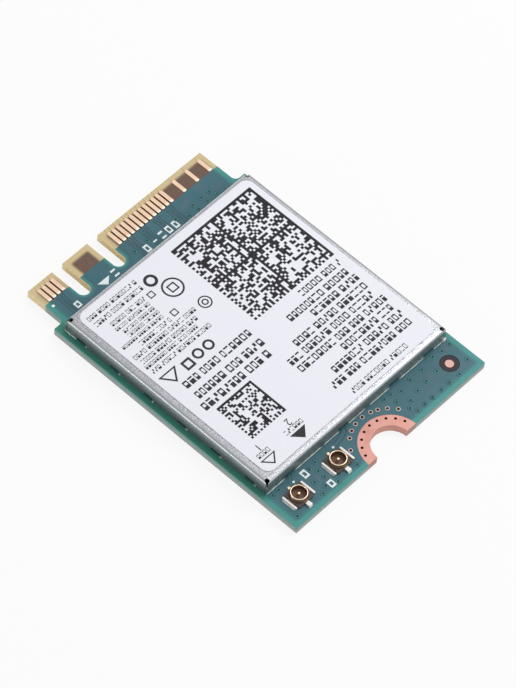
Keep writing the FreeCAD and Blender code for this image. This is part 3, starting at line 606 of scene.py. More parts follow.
def bead_tree():
    """Runs an uneven round bead along each line, thinner towards its ends."""
    tree, given = new_tree(
        "Bead along",
        {
            "Lines": "Geometry",
            "Radius": "Float",
            "Step": "Float",
            "Unevenness": "Float",
            "Seed": "Float",
            "Finish": "Material",
        },
    )
    lines = given["Lines"]
    line = lines.node("GeometryNodeMeshToCurve", None, {0: lines})
    line = line.node("GeometryNodeResampleCurve", {"mode": "LENGTH"}, {"Curve": line, "Length": given["Step"]})
    profile = line.node("GeometryNodeCurvePrimitiveCircle", None, {"Resolution": 10, "Radius": given["Radius"]})
    along = line.node("GeometryNodeSplineParameter")
    cloud = line.node(
        "ShaderNodeTexNoise", {"noise_dimensions": "4D"}, {"W": given["Seed"], "Scale": 2.2, "Detail": 3.0}
    )
    swell = 1 + given["Unevenness"] * (cloud * 4 - 2)
    taper, tip, thinnest = 0.12, 0.35, 0.3
    ends = along.step(0.0, taper, tip, 1.0) * along.step(1 - taper, 1.0, 1.0, tip)
    tube = {"Curve": line, "Profile Curve": profile, "Scale": swell.most(thinnest) * ends, "Fill Caps": True}
    end_tree(line.node("GeometryNodeCurveToMesh", None, tube), given["Finish"])
    return tree


def tree_named(name, make):
    return bpy.data.node_groups.get(name) or make()


# Shapes


def arc(centre, radius, start, end, step=6.0):
    """Points along an arc, from one angle to another in degrees."""
    count = max(2, round(abs(end - start) / step))
    angles = (math.radians(start + (end - start) * i / count) for i in range(count + 1))
    return [(centre[0] + radius * math.cos(a), centre[1] + radius * math.sin(a)) for a in angles]


def circle(centre, radius, sides=24):
    return arc(centre, radius, 0, 360, 360 / sides)[:-1]


def rounded_rectangle(low, high, radius, step=9.0):
    points = arc((high[0] - radius, low[1] + radius), radius, -90, 0, step)
    points += arc((high[0] - radius, high[1] - radius), radius, 0, 90, step)
    points += arc((low[0] + radius, high[1] - radius), radius, 90, 180, step)
    return points + arc((low[0] + radius, low[1] + radius), radius, 180, 270, step)


def strip(path, width):
    """The outline of a narrow strip along a path."""
    sides = ([], [])
    for i, point in enumerate(path):
        before, after = path[max(i - 1, 0)], path[min(i + 1, len(path) - 1)]
        across = Vector((before[1] - after[1], after[0] - before[0])).normalized() * width / 2
        for side, sign in zip(sides, (1, -1)):
            side.append((point[0] + sign * across.x, point[1] + sign * across.y))
    return sides[0] + sides[1][::-1]


def baked(holder, *helpers):
    """The plain mesh of an object with its modifiers; the object and its helpers go."""
    everything = (holder, *helpers)
    for each in everything:
        bpy.context.scene.collection.objects.link(each)
    mesh = bpy.data.meshes.new_from_object(holder.evaluated_get(bpy.context.evaluated_depsgraph_get()))
    for each in everything:
        bpy.data.objects.remove(each, do_unlink=True)
    return mesh


def from_bmesh(shape):
    mesh = bpy.data.meshes.new("shape")
    shape.to_mesh(mesh)
    shape.free()
    return mesh


def plate(outline, low, high, holes=(), rounding=0.0):
    """A flat sheet from height low to high, with an outline, holes and rounded edges."""
    curve = bpy.data.curves.new("plate", "CURVE")
    curve.dimensions = "2D"
    curve.fill_mode = "BOTH"
    curve.bevel_depth = rounding
    curve.bevel_resolution = 1
    curve.offset = -rounding
    curve.extrude = (high - low) / 2 - rounding
    for loop in (outline, *holes):
        spline = curve.splines.new("POLY")
        spline.points.add(len(loop) - 1)
        for point, (x, y) in zip(spline.points, loop):
            point.co = (x, y, 0.0, 1.0)
        spline.use_cyclic_u = True
    mesh = baked(bpy.data.objects.new("plate", curve))
    shape = bmesh.new()
    shape.from_mesh(mesh)
    bmesh.ops.remove_doubles(shape, verts=shape.verts, dist=1e-5)
    bmesh.ops.translate(shape, verts=shape.verts, vec=(0.0, 0.0, (low + high) / 2))
    return from_bmesh(shape)


def turned(profile, steps=32):
    """A closed profile of radius and height turned about the Z axis."""
    shape = bmesh.new()
    rings = []
    for radius, height in profile:
        if radius == 0:
            rings.append([shape.verts.new((0.0, 0.0, height))] * steps)
            continue
        angles = (2 * math.pi * i / steps for i in range(steps))
        rings.append([shape.verts.new((radius * math.cos(a), radius * math.sin(a), height)) for a in angles])
    for lower, upper in zip(rings, rings[1:] + rings[:1]):
        for i in range(steps):
            j = (i + 1) % steps
            corners = list(dict.fromkeys((lower[i], lower[j], upper[j], upper[i])))
            if len(corners) > 2:
                shape.faces.new(corners)
    bmesh.ops.recalc_face_normals(shape, faces=shape.faces)
    return from_bmesh(shape)


def rounded_block(low, high, radius, segments=2, edges=None):
    """A block with rounded edges; edges picks them, all of them where it is left out."""
    low, high = Vector(low), Vector(high)
    shape = bmesh.new()
    place = Matrix.Translation((low + high) / 2) @ Matrix.Diagonal((*(high - low), 1.0))
    bmesh.ops.create_cube(shape, size=1.0, matrix=place)
    if radius:
        picked = [edge for edge in shape.edges if edges is None or edges(edge)]
        bmesh.ops.bevel(
            shape, geom=picked, offset=radius, offset_type="OFFSET", segments=segments, profile=0.5, affect="EDGES"
        )
    return from_bmesh(shape)


def joined(*parts):
    """One mesh out of several, each with its place in the piece's list of finishes, or None to keep its own."""
    shape = bmesh.new()
    for mesh, finish in parts:
        start = len(shape.faces)
        shape.from_mesh(mesh)
        shape.faces.ensure_lookup_table()
        for face in shape.faces[start:] if finish is not None else ():
            face.material_index = finish
    return from_bmesh(shape)


def moved(mesh, x, y, z=0.0):
    mesh.transform(Matrix.Translation((x, y, z)))
    return mesh


def points(places, sizes=None):
    """Loose points, each with the size that its copy of a shape gets."""
    mesh = bpy.data.meshes.new("points")
    mesh.from_pydata(places, [], [])
    scale = mesh.attributes.new("size", "FLOAT_VECTOR", "POINT")
    for row, size in zip(scale.data, sizes or [(1.0, 1.0, 1.0)] * len(places)):
        row.vector = size
    return mesh


def lines(*paths):
    """Loose lines along the given paths."""
    mesh = bpy.data.meshes.new("lines")
    corners, edges = [], []
    for path in paths:
        edges += [(len(corners) + i, len(corners) + i + 1) for i in range(len(path) - 1)]
        corners += path
    mesh.from_pydata(corners, edges, [])
    return mesh


def grown(tree, mesh, helpers=(), **inputs):
    """The plain mesh that a tree makes of a mesh, with the tree's inputs set by name."""
    holder = bpy.data.objects.new("holder", mesh)
    modifier = holder.modifiers.new("nodes", "NODES")
    modifier.node_group = tree
    for item in tree.interface.items_tree:
        if item.item_type == "SOCKET" and item.in_out == "INPUT" and item.name in inputs:
            modifier[item.identifier] = inputs[item.name]
    return baked(holder, *helpers)


def repeated(shape, places, finish, sizes=None, share=1.0, seed=0):
    """A shape copied to places through the repeat tree."""
    original = bpy.data.objects.new("shape", shape)
    inputs = {"Shape": original, "Share": share, "Seed": seed, "Finish": finish}
    return grown(tree_named("Repeat shape", repeat_tree), points(places, sizes), (original,), **inputs)


def beads(paths, radius, step, unevenness, seed, finish):
    """Solder along paths through the bead tree."""
    inputs = {"Radius": radius, "Step": step, "Unevenness": unevenness, "Seed": seed, "Finish": finish}
    return grown(tree_named("Bead along", bead_tree), lines(*paths), **inputs)


def piece(name, mesh, finishes, slot, replaced=(), smooth=20.0):
    """A finished piece of the card, kept in metres and riding on the card's one body."""
    mesh.transform(Matrix.Scale(MM, 4))
    for finish in finishes:
        mesh.materials.append(finish)
    mesh.name = name
    if smooth:
        mesh.shade_smooth()
        mesh.set_sharp_from_angle(angle=math.radians(smooth))
    made = bpy.data.objects.new(name, mesh)
    bpy.context.scene.collection.objects.link(made)
    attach(made, BODY)
    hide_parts(*replaced)
    return made


# Finishes


def colours():
    return bpy.context.scene.card_colours


def copper_cover(made):
    """1 where copper lies under the mask and 0 along the board's edges and slots, with soft borders."""
    b = drawn(bpy.context.scene.card_board)
    soft, side = 0.24, abs(made.x)
    edge, tongue = b.width / 2 - b.pour_inset, b.tongue_width / 2 - b.pour_inset
    shoulder = b.length / 2 - b.tongue_length - b.pour_inset
    cover = side.step(edge - soft, edge + soft, 1.0, 0.0)
    cover = cover * made.y.step(b.pour_inset - soft - b.length / 2, b.pour_inset + soft - b.length / 2)
    cover = cover * (1 - side.step(tongue - soft, tongue + soft) * made.y.step(shoulder - soft, shoulder + soft))
    slot_end = b.length / 2 - b.slot_depth + b.slot_width / 2
    for middle in (b.first_slot, b.second_slot):
        across, along = made.x - middle, (slot_end - made.y).most(0.0)
        distance = (across * across + along * along).root()
        cover = cover * distance.step(b.slot_width / 2, b.slot_width / 2 + b.pour_inset * 0.8)
    return cover


def solder_mask(name):
    made = Finish(name)
    c = colours()
    cloud = made.noise(0.5, 3.0).step(0.3, 0.75)
    weave = made.noise(9.0, 2.0)
    pour = (cloud * 0.6).blend(c.mask_pour, c.mask_pour_dark)
    pour = made.noise(0.8, 3.0, 0.6).step(0.5, 0.75, 0.0, 0.6).blend(pour, c.mask_pour_warm)
    # Painted shade: the mask is painted deeper beside the can's left wall, and nearly black under the can, where
    # the can's shade falls.
    low, high = (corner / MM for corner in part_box("shield_can"))
    shaded = made.x.step(low.x - 0.55, low.x - 0.15, 0.5, 1.0) * made.x.step(low.x, low.x + 0.6, 1.0, 0.0)
    shaded = shaded * made.y.step(low.y - 0.7, low.y + 0.2)
    bare = (cloud * 0.3 + shaded).least(1.0).blend(c.mask_bare, c.mask_bare_deep_and_shade)
    open_mask = copper_cover(made).blend(bare, pour)
    upper = made.z > BOARD.z / 2
    # Painted shade under the can: the mask there takes the near-black colour.
    under = made.inside(low.x + 0.07, high.x - 0.07, low.y + 0.07, high.y - 0.07, 0.06) * upper
    made.give(Base_Color=under.blend(open_mask, c.under_can_shade), Roughness=0.3 + weave * 0.16)
    made.give(Specular_IOR_Level=0.35)
    return made.bump(weave, 0.004, 0.35)


def filled_via(name):
    made = Finish(name)
    c = colours()
    b = drawn(bpy.context.scene.card_board)
    height = made.z.step(b.thickness + b.via_rise * 0.4, b.thickness + b.via_rise * 0.85)
    # The raised ring is painted lighter, partly a painted highlight of its lit slope.
    ring = made.noise(3.0).step(0.2, 0.7).blend(c.mask_pour_dark, c.via_ring_highlight)
    made.give(Base_Color=height.blend(c.via_fill, ring), Roughness=0.5 - height * 0.15)
    made.give(Specular_IOR_Level=0.3)
    return made


def bare_laminate(name):
    made = Finish(name)
    c = colours()
    b = drawn(bpy.context.scene.card_board)
    end = b.length / 2 - b.inner_copper_end
    start = end - b.tongue_length
    side, slot = b.tongue_width / 2 - b.pour_inset, b.slot_width / 2 + b.pour_inset
    # Copper inside the laminate darkens the three tabs of the tongue.
    tabs = made.inside(-side, b.first_slot - slot, start, end, 0.22)
    tabs = tabs.most(made.inside(b.first_slot + slot, b.second_slot - slot, start, end, 0.22))
    tabs = tabs.most(made.inside(b.second_slot + slot, side, start, end, 0.22))
    glass = made.noise(6.0, 3.0, 0.6, (1.0, 2.5, 1.0))
    shade = (tabs * 0.92 + (glass - 0.5) * 0.35).step(0.0, 1.0)
    open_face = shade.blend(c.laminate, c.inner_copper)
    tongue = open_face
    # The two close runs of fingers: darker round them, and darkest between the fingers, where painted shade stands
    # for the shadow in the narrow gaps.
    for run in UPPER_RUNS[:2]:
        first, *_, last = finger_places([run])
        near = made.inside(first - 0.35, last + 0.35, start, end - 0.2, 0.35) * 0.4
        between = made.inside(first - 0.15, last + 0.15, start, end, 0.12)
        tongue = between.blend(near.blend(tongue, c.inner_copper), c.between)
    antenna_end = made.y < 0.0
    made.give(Base_Color=antenna_end.blend(tongue, c.mark_ring), Roughness=0.5 + glass * 0.25)
    made.give(Specular_IOR_Level=0.25)
    return made.bump(glass, 0.006, 0.4)


def laminate_edge(name):
    made = Finish(name)
    c = colours()
    b = drawn(bpy.context.scene.card_board)
    shoulder = b.length / 2 - b.tongue_length
    layers = made.noise(2.0, 3.0, 0.6, (1.6, 1.6, 9.0)).step(0.36, 0.66)
    outside = abs(made.x).step(b.tongue_width / 2 - 0.3, b.tongue_width / 2 - 0.1)
    masked = (b.tongue_length - b.bare_tongue - 0.2) * outside
    tongue = (made.y - masked).step(shoulder, shoulder + 0.4)
    height = made.z.step(b.thickness * 0.3, b.thickness * 0.9)
    wall = (layers * 0.4).blend(height.blend(c.edge_lower, c.edge_upper), c.edge_layers)
    # Plated copper on the board's side beside the screw notch.
    land, antenna_edge = drawn(bpy.context.scene.card_land), -b.length / 2
    rim = land.notch_radius + land.width
    plated = abs(made.x).step(rim - 0.03, rim + 0.03, 1.0, 0.0)
    plated = plated * made.y.step(antenna_edge + 0.05, antenna_edge + 0.1, 1.0, 0.0)
    wall = plated.blend(wall, c.edge_plated)
    # The tongue's cut front is painted paler, partly painted light for faces in shade.
    front = (layers * 0.2).blend(c.laminate_edge, c.inner_copper)
    saw = made.noise(14.0, 2.0, 0.5, (1.0, 1.0, 0.15))
    made.give(Base_Color=tongue.blend(wall, front), Roughness=0.6 + saw * 0.2)
    return made.bump(saw, 0.012, 0.5)


def contact_gold(name):
    made = Finish(name)
    c = colours()
    s = drawn(bpy.context.scene.card_contacts)
    edge = drawn(bpy.context.scene.card_board).length / 2
    rubbed = made.noise(5.0, 3.0, 0.6, (3.0, 0.35, 1.0))
    cloud = made.noise(1.3, 2.0).step(0.3, 0.65)
    stub = made.y.step(edge - s.setback - 0.05, edge - s.setback + 0.2)
    pale = made.y.step(edge - s.root + 0.05, edge - s.root + 0.35, 0.8, 0.0)
    plating = (rubbed.step(0.35, 0.7) * 0.7 * cloud).blend(c.gold, c.gold_worn)
    made.give(Base_Color=(stub * 0.8).blend(pale.blend(plating, c.gold_pale), c.laminate))
    made.give(Metallic=0.85 - stub * 0.6, Roughness=0.3 + rubbed * 0.22)
    return made.bump(rubbed, 0.002, 0.4)


def bare_copper(name, face):
    """Bare copper of a colour, with tarnish on it."""
    made = Finish(name)
    c = colours()
    dull = made.noise(1.1, 4.0, 0.6).step(0.42, 0.75)
    grain = made.noise(16.0, 2.0)
    made.give(Base_Color=(dull * 0.55).blend(getattr(c, face), c.copper_dull), Metallic=0.55)
    made.give(Roughness=0.42 + grain * 0.2)
    return made.bump(grain, 0.004, 0.4)


def tinned_sheet(name):
    made = Finish(name)
    c = colours()
    s = drawn(bpy.context.scene.card_can)
    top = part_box("shield_can")[1].z / MM - s.crown
    speck = made.noise(7.0, 3.0, 0.7).step(0.36, 0.64)
    cloud = made.noise(1.6, 4.0, 0.6)
    fold = made.z.step(top - s.fold - 0.04, top - s.fold + 0.04) * made.z.step(top - 0.01, top + 0.01, 1.0, 0.0)
    rough = speck * (1 - fold)
    dull = (rough * 0.75 + cloud * 0.5 * (1 - fold)).step(0.2, 1.1)
    # Painted shade: the walls are painted darker than the upper face, and darker and greener still towards their
    # feet, for the shade and the board's reflection on them; a darker line painted where the fold starts is
    # painted shade too.
    wall = made.z.step(top - 0.08, top + 0.004, 1.0, 0.0)
    lower = made.z.step(top - 1.1, top - 0.1, 1.0, 0.0)
    fold_shade_line = made.z.step(top - 0.05, top - 0.015) * made.z.step(top + 0.001, top + 0.007, 1.0, 0.0)
    face = dull.most(fold_shade_line * 0.8).blend(c.tinned, c.tinned_dark)
    side = (lower * 0.7 + dull * 0.3).blend(c.tinned_wall_shade, c.tinned_foot_shade)
    made.give(Base_Color=wall.blend(face, side), Metallic=0.95 - wall * 0.3)
    made.give(Roughness=0.26 + dull * 0.1 + wall * 0.04)
    return made.bump(rough, 0.003, 1.0)


def label_film(name):
    made = Finish(name)
    c = colours()
    fibre = made.noise(3.5, 4.0, 0.6)
    wave = made.noise(0.16, 2.0)
    made.give(Base_Color=(fibre * 0.35).blend(c.film, c.film_dull), Roughness=0.5 + fibre * 0.12)
    made.give(Specular_IOR_Level=0.3)
    return made.bump(wave + fibre * 0.05, 0.05, 0.4)


def print_ink(name):
    made = Finish(name)
    c = colours()
    thin = made.noise(10.0, 2.0).step(0.45, 0.85)
    made.give(Base_Color=(thin * 0.1).blend(c.ink, c.film), Roughness=0.6 + thin * 0.2, Specular_IOR_Level=0.2)
    return made


def clouded(name, shade, other, share, noise, rough, metallic=0.0, relief=0.0, gloss=0.5):
    """A finish that clouds from one colour a share of the way to another, rougher and higher as it does."""
    made = Finish(name)
    c = colours()
    cloud = made.noise(*noise)
    made.give(Base_Color=(cloud * share).blend(getattr(c, shade), getattr(c, other)))
    made.give(Roughness=rough[0] + cloud * rough[1], Metallic=metallic, Specular_IOR_Level=gloss)
    return made.bump(cloud, relief, 0.4) if relief else made


def matt(name, shade, speckle, scale):
    """A matt moulded or fired finish with a fine speckle."""
    made = Finish(name)
    shade = getattr(colours(), shade)
    grain = made.noise(scale, 3.0, 0.6)
    paler = tuple(min(1.0, part * (1 + speckle) + 0.01) for part in shade[:3]) + (1.0,)
    made.give(Base_Color=grain.step(0.4, 0.75).blend(shade, paler), Roughness=0.5 + grain * 0.25)
    return made.bump(grain, 0.005, 0.4)


FINISHES = {
    "Solder mask": solder_mask,
    "Mask in gaps": partial(
        clouded, shade="mask_gap_shade", other="mask_pour_dark", share=0.5, noise=(3.0,), rough=(0.35, 0.1)
    ),
    "Filled via": filled_via,
    "Bare laminate": bare_laminate,
    "Laminate edge": laminate_edge,
    "Contact gold": contact_gold,
    "Bare copper": partial(bare_copper, face="copper"),
    "Mark copper": partial(bare_copper, face="mark"),
    "Eyelet rim": partial(bare_copper, face="eyelet"),
    "Via wall": partial(
        clouded, shade="via_wall", other="copper_dull", share=0.1, noise=(9.0, 2.0), rough=(0.6, 0.2), gloss=0.2
    ),
    "Tinned sheet": tinned_sheet,
    "Solder": partial(
        clouded, shade="solder", other="tinned_dark", share=0.5, noise=(4.0, 3.0),
        rough=(0.2, 0.2), metallic=0.6, relief=0.01,
    ),  # fmt: skip
    "Label film": label_film,
    "Print ink": print_ink,
    "Plated shell": partial(
        clouded, shade="shell", other="moulding", share=0.5, noise=(6.0, 3.0, 0.6, (1.0, 1.0, 3.0)),
        rough=(0.34, 0.2), metallic=0.8, relief=0.002,
    ),  # fmt: skip
    "Plated lip": partial(
        clouded, shade="plating_and_lip_highlight", other="gold_worn", share=0.3, noise=(8.0, 3.0),
        rough=(0.2, 0.16), metallic=0.9, relief=0.002,
    ),  # fmt: skip
    "Tinned legs": partial(
        clouded, shade="legs", other="tinned_dark", share=0.5, noise=(5.0, 3.0),
        rough=(0.24, 0.2), metallic=0.7, relief=0.004,
    ),  # fmt: skip
    "Dark moulding": partial(matt, shade="moulding", speckle=0.6, scale=9.0),
    "Ring floor": partial(matt, shade="ring_floor", speckle=0.4, scale=9.0),
    "Chip moulding": partial(matt, shade="chip", speckle=0.6, scale=12.0),
    "Pale ceramic": partial(matt, shade="pale_ceramic", speckle=0.15, scale=8.0),
    "Tan ceramic": partial(matt, shade="tan_ceramic", speckle=0.2, scale=8.0),
    "Grey ferrite": partial(matt, shade="ferrite", speckle=0.35, scale=10.0),
    "Legend": partial(matt, shade="legend", speckle=0.05, scale=12.0),
}
# Finish of each material slot of the solids that stay as they are.
SLOT_FINISHES = {
    "chip_moulding": "Chip moulding",
    "solder_tin": "Solder",
    "pale_ceramic": "Pale ceramic",
    "tan_ceramic": "Tan ceramic",
    "grey_ferrite": "Grey ferrite",
    "tinned_sheet": "Tinned sheet",
}


def finish(name):
    """The material of that name, made when it is first asked for."""
    return bpy.data.materials.get(name) or FINISHES[name](name).material


# Pieces


def board_outline(b, inset, front, notch):
    """The board's outline drawn in by inset, with its tongue cut off at front and a notch of that radius."""
    half, back = b.width / 2 - inset, inset - b.length / 2
    shoulder = b.length / 2 - b.tongue_length
    tongue = b.tongue_width / 2 - inset
    fillet_x = b.tongue_width / 2 + b.shoulder_radius
    fillet_y = shoulder + b.shoulder_radius
    lean = math.degrees(math.asin(inset / notch))
    outline = [(-half, back), *arc((0.0, -b.length / 2), notch, 180 - lean, lean, NOTCH_STEP)]
    outline += [(half, back), (half, shoulder - inset)]
    outline += arc((fillet_x, fillet_y), b.shoulder_radius + inset, 270, 180) + [(tongue, front)]
    slot_end = b.length / 2 - b.slot_depth + b.slot_width / 2
    for middle in (b.second_slot, b.first_slot):
        reach = b.slot_width / 2 + inset
        outline += [(middle + reach, front), *arc((middle, slot_end), reach, 0, -180), (middle - reach, front)]
    outline += [(-tongue, front), *arc((-fillet_x, fillet_y), b.shoulder_radius + inset, 0, -90)]
    return outline + [(-half, shoulder - inset)]


def around_notch(b, radius, degrees):
    """A place at that turn about the screw notch, counted from the card's length."""
    turned_by = math.radians(degrees)
    return radius * math.sin(turned_by), radius * math.cos(turned_by) - b.length / 2


def via_places(b, s):
    """The land's row of vias and the row outside it."""
    first = -math.degrees(s.via_step) * (s.via_count - 1) / 2
    inner = [around_notch(b, s.via_circle, first + math.degrees(s.via_step) * i) for i in range(s.via_count)]
    return inner, [around_notch(b, s.outer_circle, degrees) for degrees in OUTER_VIA_TURNS]


def trace_gaps(b):
    """Outlines of the gaps beside the traces, in the copper under the upper mask."""
    can_end = b.length / 2 - b.tongue_length - PAIR_END
    mask_end = b.length / 2 - b.bare_tongue
    offset = b.trace_width / 2 + b.trace_gap / 2
    gaps = []
    for middle in TRACE_PAIRS:
        for side in (-1, 1):
            for edge in (-offset, offset):
                far, near = middle + side * PAIR_WIDE + edge, middle + side * PAIR_NARROW + edge
                path = [(far, mask_end - PAIR_START), (far, mask_end - PAIR_BEND)]
                path += [(near, mask_end - PAIR_STRAIGHT), (near, can_end)]
                gaps.append(strip(path, b.trace_gap))
    return gaps + [strip(path, b.trace_gap) for path in ANTENNA_GAPS]


def edged(mesh, face_finish, edge_finish):
    """The mesh with its upright faces given another finish."""
    for face in mesh.polygons:
        face.material_index = face_finish if abs(face.normal.z) > 0.5 else edge_finish
    return mesh


class CARD_OT_board(bpy.types.Operator):
    """Builds the laminate and the solder mask on both faces"""

    bl_idname = "card.board"
    bl_label = "Board"

    def execute(self, context):
        b, s = drawn(context.scene.card_board), drawn(context.scene.card_land)
        inner, outer = via_places(b, s)
        front, mask_end = b.length / 2, b.length / 2 - b.bare_tongue
        drilled = [circle(place, s.via_radius + s.via_plating, VIA_SIDES) for place in inner + outer]
        wall = board_outline(b, 0.0, front, s.notch_radius + s.plating)
        core = plate(wall, b.mask, b.thickness - b.mask, drilled)
        piece(
            "board_laminate",
            edged(core, 0, 1),
            [finish("Bare laminate"), finish("Laminate edge")],
            "solder_mask",
            ["circuit_board"],
        )
        land = s.notch_radius + s.width
        collars = [circle(place, s.via_radius + s.via_plating + s.collar, SMALL_SIDES) for place in outer]
        window = circle(MARK_PLACE, s.mark_radius + s.mark_clearing, ROUND_SIDES)
        gaps = trace_gaps(b)
        base = board_outline(b, 0.0, mask_end, land)
        pour = board_outline(b, b.pour_inset, mask_end, land)
        surface = b.thickness
        upper = joined(
            (plate(base, surface - b.mask, surface - b.pour_rise, [*collars, window]), 0),
            (plate(pour, surface - b.pour_rise, surface, [*collars, window, *gaps], b.pour_rise / 3), 0),
            # Painted shade: the mask in the gaps beside the traces takes the dark finish.
            *((plate(gap, surface - b.pour_rise, surface - b.pour_rise / 3), 1) for gap in gaps),
        )
        finishes = [finish("Solder mask"), finish("Mask in gaps")]
        piece("board_mask_upper", upper, finishes, "solder_mask")
        lower = joined(
            (plate(base, b.pour_rise, b.mask, collars), 0),
            (plate(pour, 0.0, b.pour_rise, collars, b.pour_rise / 3), 0),
        )
        piece("board_mask_lower", lower, finishes[:1], "solder_mask")
        return {"FINISHED"}


class CARD_OT_board_details(bpy.types.Operator):
    """Builds the filled vias and the white marks printed on the mask"""

    bl_idname = "card.board_details"
    bl_label = "Filled vias and printed marks"

    def execute(self, context):
        b = drawn(context.scene.card_board)
        rise = b.print_rise
        dimple = turned([(b.filled_via * out, b.via_rise * up) for out, up in VIA_PROFILE], VIA_SIDES)
        dimples = repeated(dimple, [(x, y, b.thickness) for x, y in FILLED_VIAS], finish("Filled via"))
        piece("board_filled_vias", joined((dimples, 0)), [finish("Filled via")], "solder_mask")
        legend = [(plate(outline, b.thickness, b.thickness + rise), 0) for outline in LEGEND_SOLIDS]
        dot = turned([(0.0, 0.0), (1.0, 0.0), (0.94, rise), (0.0, rise)], SMALL_SIDES)
        places = [(x, y, b.thickness) for x, y, radius in LEGEND_DOTS]
        sizes = [(radius, radius, 1.0) for x, y, radius in LEGEND_DOTS]
        legend.append((repeated(dot, places, finish("Legend"), sizes), 0))
        shapes = mark_shapes(b.print_stroke, rise)
        for kind, rows in (("frame", LEGEND_FRAMES), ("bars", LEGEND_BARS)):
            places = [(x, y, b.thickness) for x, y, width, height in rows]
            sizes = [(width, height, 1.0) for x, y, width, height in rows]
            legend.append((repeated(shapes[kind], places, finish("Legend"), sizes), 0))
        piece("board_printed_marks", joined(*legend), [finish("Legend")], "label_film")
        return {"FINISHED"}


class CARD_OT_contacts(bpy.types.Operator):
    """Builds the plated contact fingers of both faces"""

    bl_idname = "card.contacts"
    bl_label = "Contact fingers"

    def execute(self, context):
        b, s = drawn(context.scene.card_board), drawn(context.scene.card_contacts)
        half, stub, edge = s.width / 2, s.stub / 2, b.length / 2
        shoulder = edge - s.setback
        corner = half - stub
        inset = half - s.root_corner
        outline = arc((-inset, edge - s.root + s.root_corner), s.root_corner, 180, 270, 15)
        outline += arc((inset, edge - s.root + s.root_corner), s.root_corner, 270, 360, 15)
        outline += arc((half - corner, shoulder - corner), corner, 0, 60, 15)
        outline += [(stub, shoulder + 0.05), (stub, edge), (-stub, edge), (-stub, shoulder + 0.05)]
        outline += arc((corner - half, shoulder - corner), corner, 120, 180, 15)
        finger = plate(outline, 0.0, s.thickness, (), s.thickness / 5)
        for name, runs, height, node in (
            ("contact_fingers_upper", UPPER_RUNS, b.thickness - s.sunk - s.thickness, "contacts_top"),
            ("contact_fingers_lower", LOWER_RUNS, s.sunk, "contacts_bottom"),
        ):
            places = [(x, 0.0, height) for x in finger_places(runs)]
            fingers = repeated(finger.copy(), places, finish("Contact gold"))
            piece(name, joined((fingers, 0)), [finish("Contact gold")], "contact_gold", [node])
        return {"FINISHED"}


class CARD_OT_land(bpy.types.Operator):
    """Builds the screw land, the eyelets outside it and the round alignment mark"""

    bl_idname = "card.land"
    bl_label = "Screw land, eyelets and mark"

    def execute(self, context):
        b, s = drawn(context.scene.card_board), drawn(context.scene.card_land)
        c = drawn(context.scene.card_contacts)
        centre = (0.0, -b.length / 2)
        inner, outer = via_places(b, s)
        land_rim = s.notch_radius + s.width
        notch = arc(centre, s.notch_radius, 0, 180, NOTCH_STEP)
        outline = arc(centre, land_rim, 180, 0, NOTCH_STEP) + notch
        holes = [circle(place, s.via_radius, VIA_SIDES) for place in inner]
        upper = b.thickness - c.sunk
        faces = [
            (plate(outline, upper - c.thickness, upper, holes, c.thickness / 5), 0),
            (plate(outline, c.sunk, c.sunk + c.thickness, holes, c.thickness / 5), 0),
        ]
        wall = arc(centre, s.notch_radius + s.plating, 180, 0, NOTCH_STEP) + notch
        faces.append((plate(wall, c.sunk + c.thickness, upper - c.thickness), 0))
        bore, skin = s.via_radius, s.via_radius + s.via_plating
        low, high = c.sunk + c.thickness, upper - c.thickness
        barrel = turned([(bore, low), (skin, low), (skin, high), (bore, high)], VIA_SIDES)
        copper, dark = finish("Bare copper"), finish("Via wall")
        # Painted shade: a dark lining inside each hole, a dark rim round it and the dark barrel stand in for the
        # shade in the vias.
        rim_edge, proud, seat = bore + s.via_shade_rim, 0.001, 0.003
        lining = [(bore - s.lining, upper + proud), (rim_edge, upper + proud)]
        lining += [(rim_edge, upper - seat), (bore, upper - seat)]
        lining = turned(lining + [(r, b.thickness - z) for r, z in reversed(lining)], VIA_SIDES)
        for lined in (barrel, lining.copy()):
            faces.append((repeated(lined, [(x, y, 0.0) for x, y in inner], dark), 1))
        piece("screw_land_copper", joined(*faces), [copper, dark], "bare_copper", ["screw_land"])
        flange, soft = skin + s.collar, c.thickness / 5
        profile = [
            (bore, c.sunk), (flange - soft, c.sunk), (flange, c.sunk + soft), (flange, low), (skin, low),
            (skin, high), (flange, high), (flange, upper - soft), (flange - soft, upper), (bore, upper),
        ]  # fmt: skip
        holes = [(x, y, 0.0) for x, y in outer]
        pale = finish("Eyelet rim")
        eyelets = (repeated(turned(profile, VIA_SIDES), holes, pale), 0), (repeated(lining, holes, dark), 1)
        piece("ground_eyelets", joined(*eyelets), [pale, dark], "bare_copper", ["ground_vias"])
        radius = s.mark_radius
        profile = [(0.0, high), (radius, high), (radius, upper - soft), (radius - soft, upper), (0.0, upper)]
        mark = moved(turned(profile, ROUND_SIDES), *MARK_PLACE)
        piece("alignment_mark", mark, [finish("Mark copper")], "bare_copper", ["fiducial"])
        return {"FINISHED"}


def cut(mesh, cutters):
    """A mesh with closed cutters taken out of it."""
    holder, tool = bpy.data.objects.new("sheet", mesh), bpy.data.objects.new("cutters", joined(*cutters))
    modifier = holder.modifiers.new("cut", "BOOLEAN")
    modifier.operation = "DIFFERENCE"
    modifier.solver = "EXACT"
    modifier.object = tool
    return baked(holder, tool)


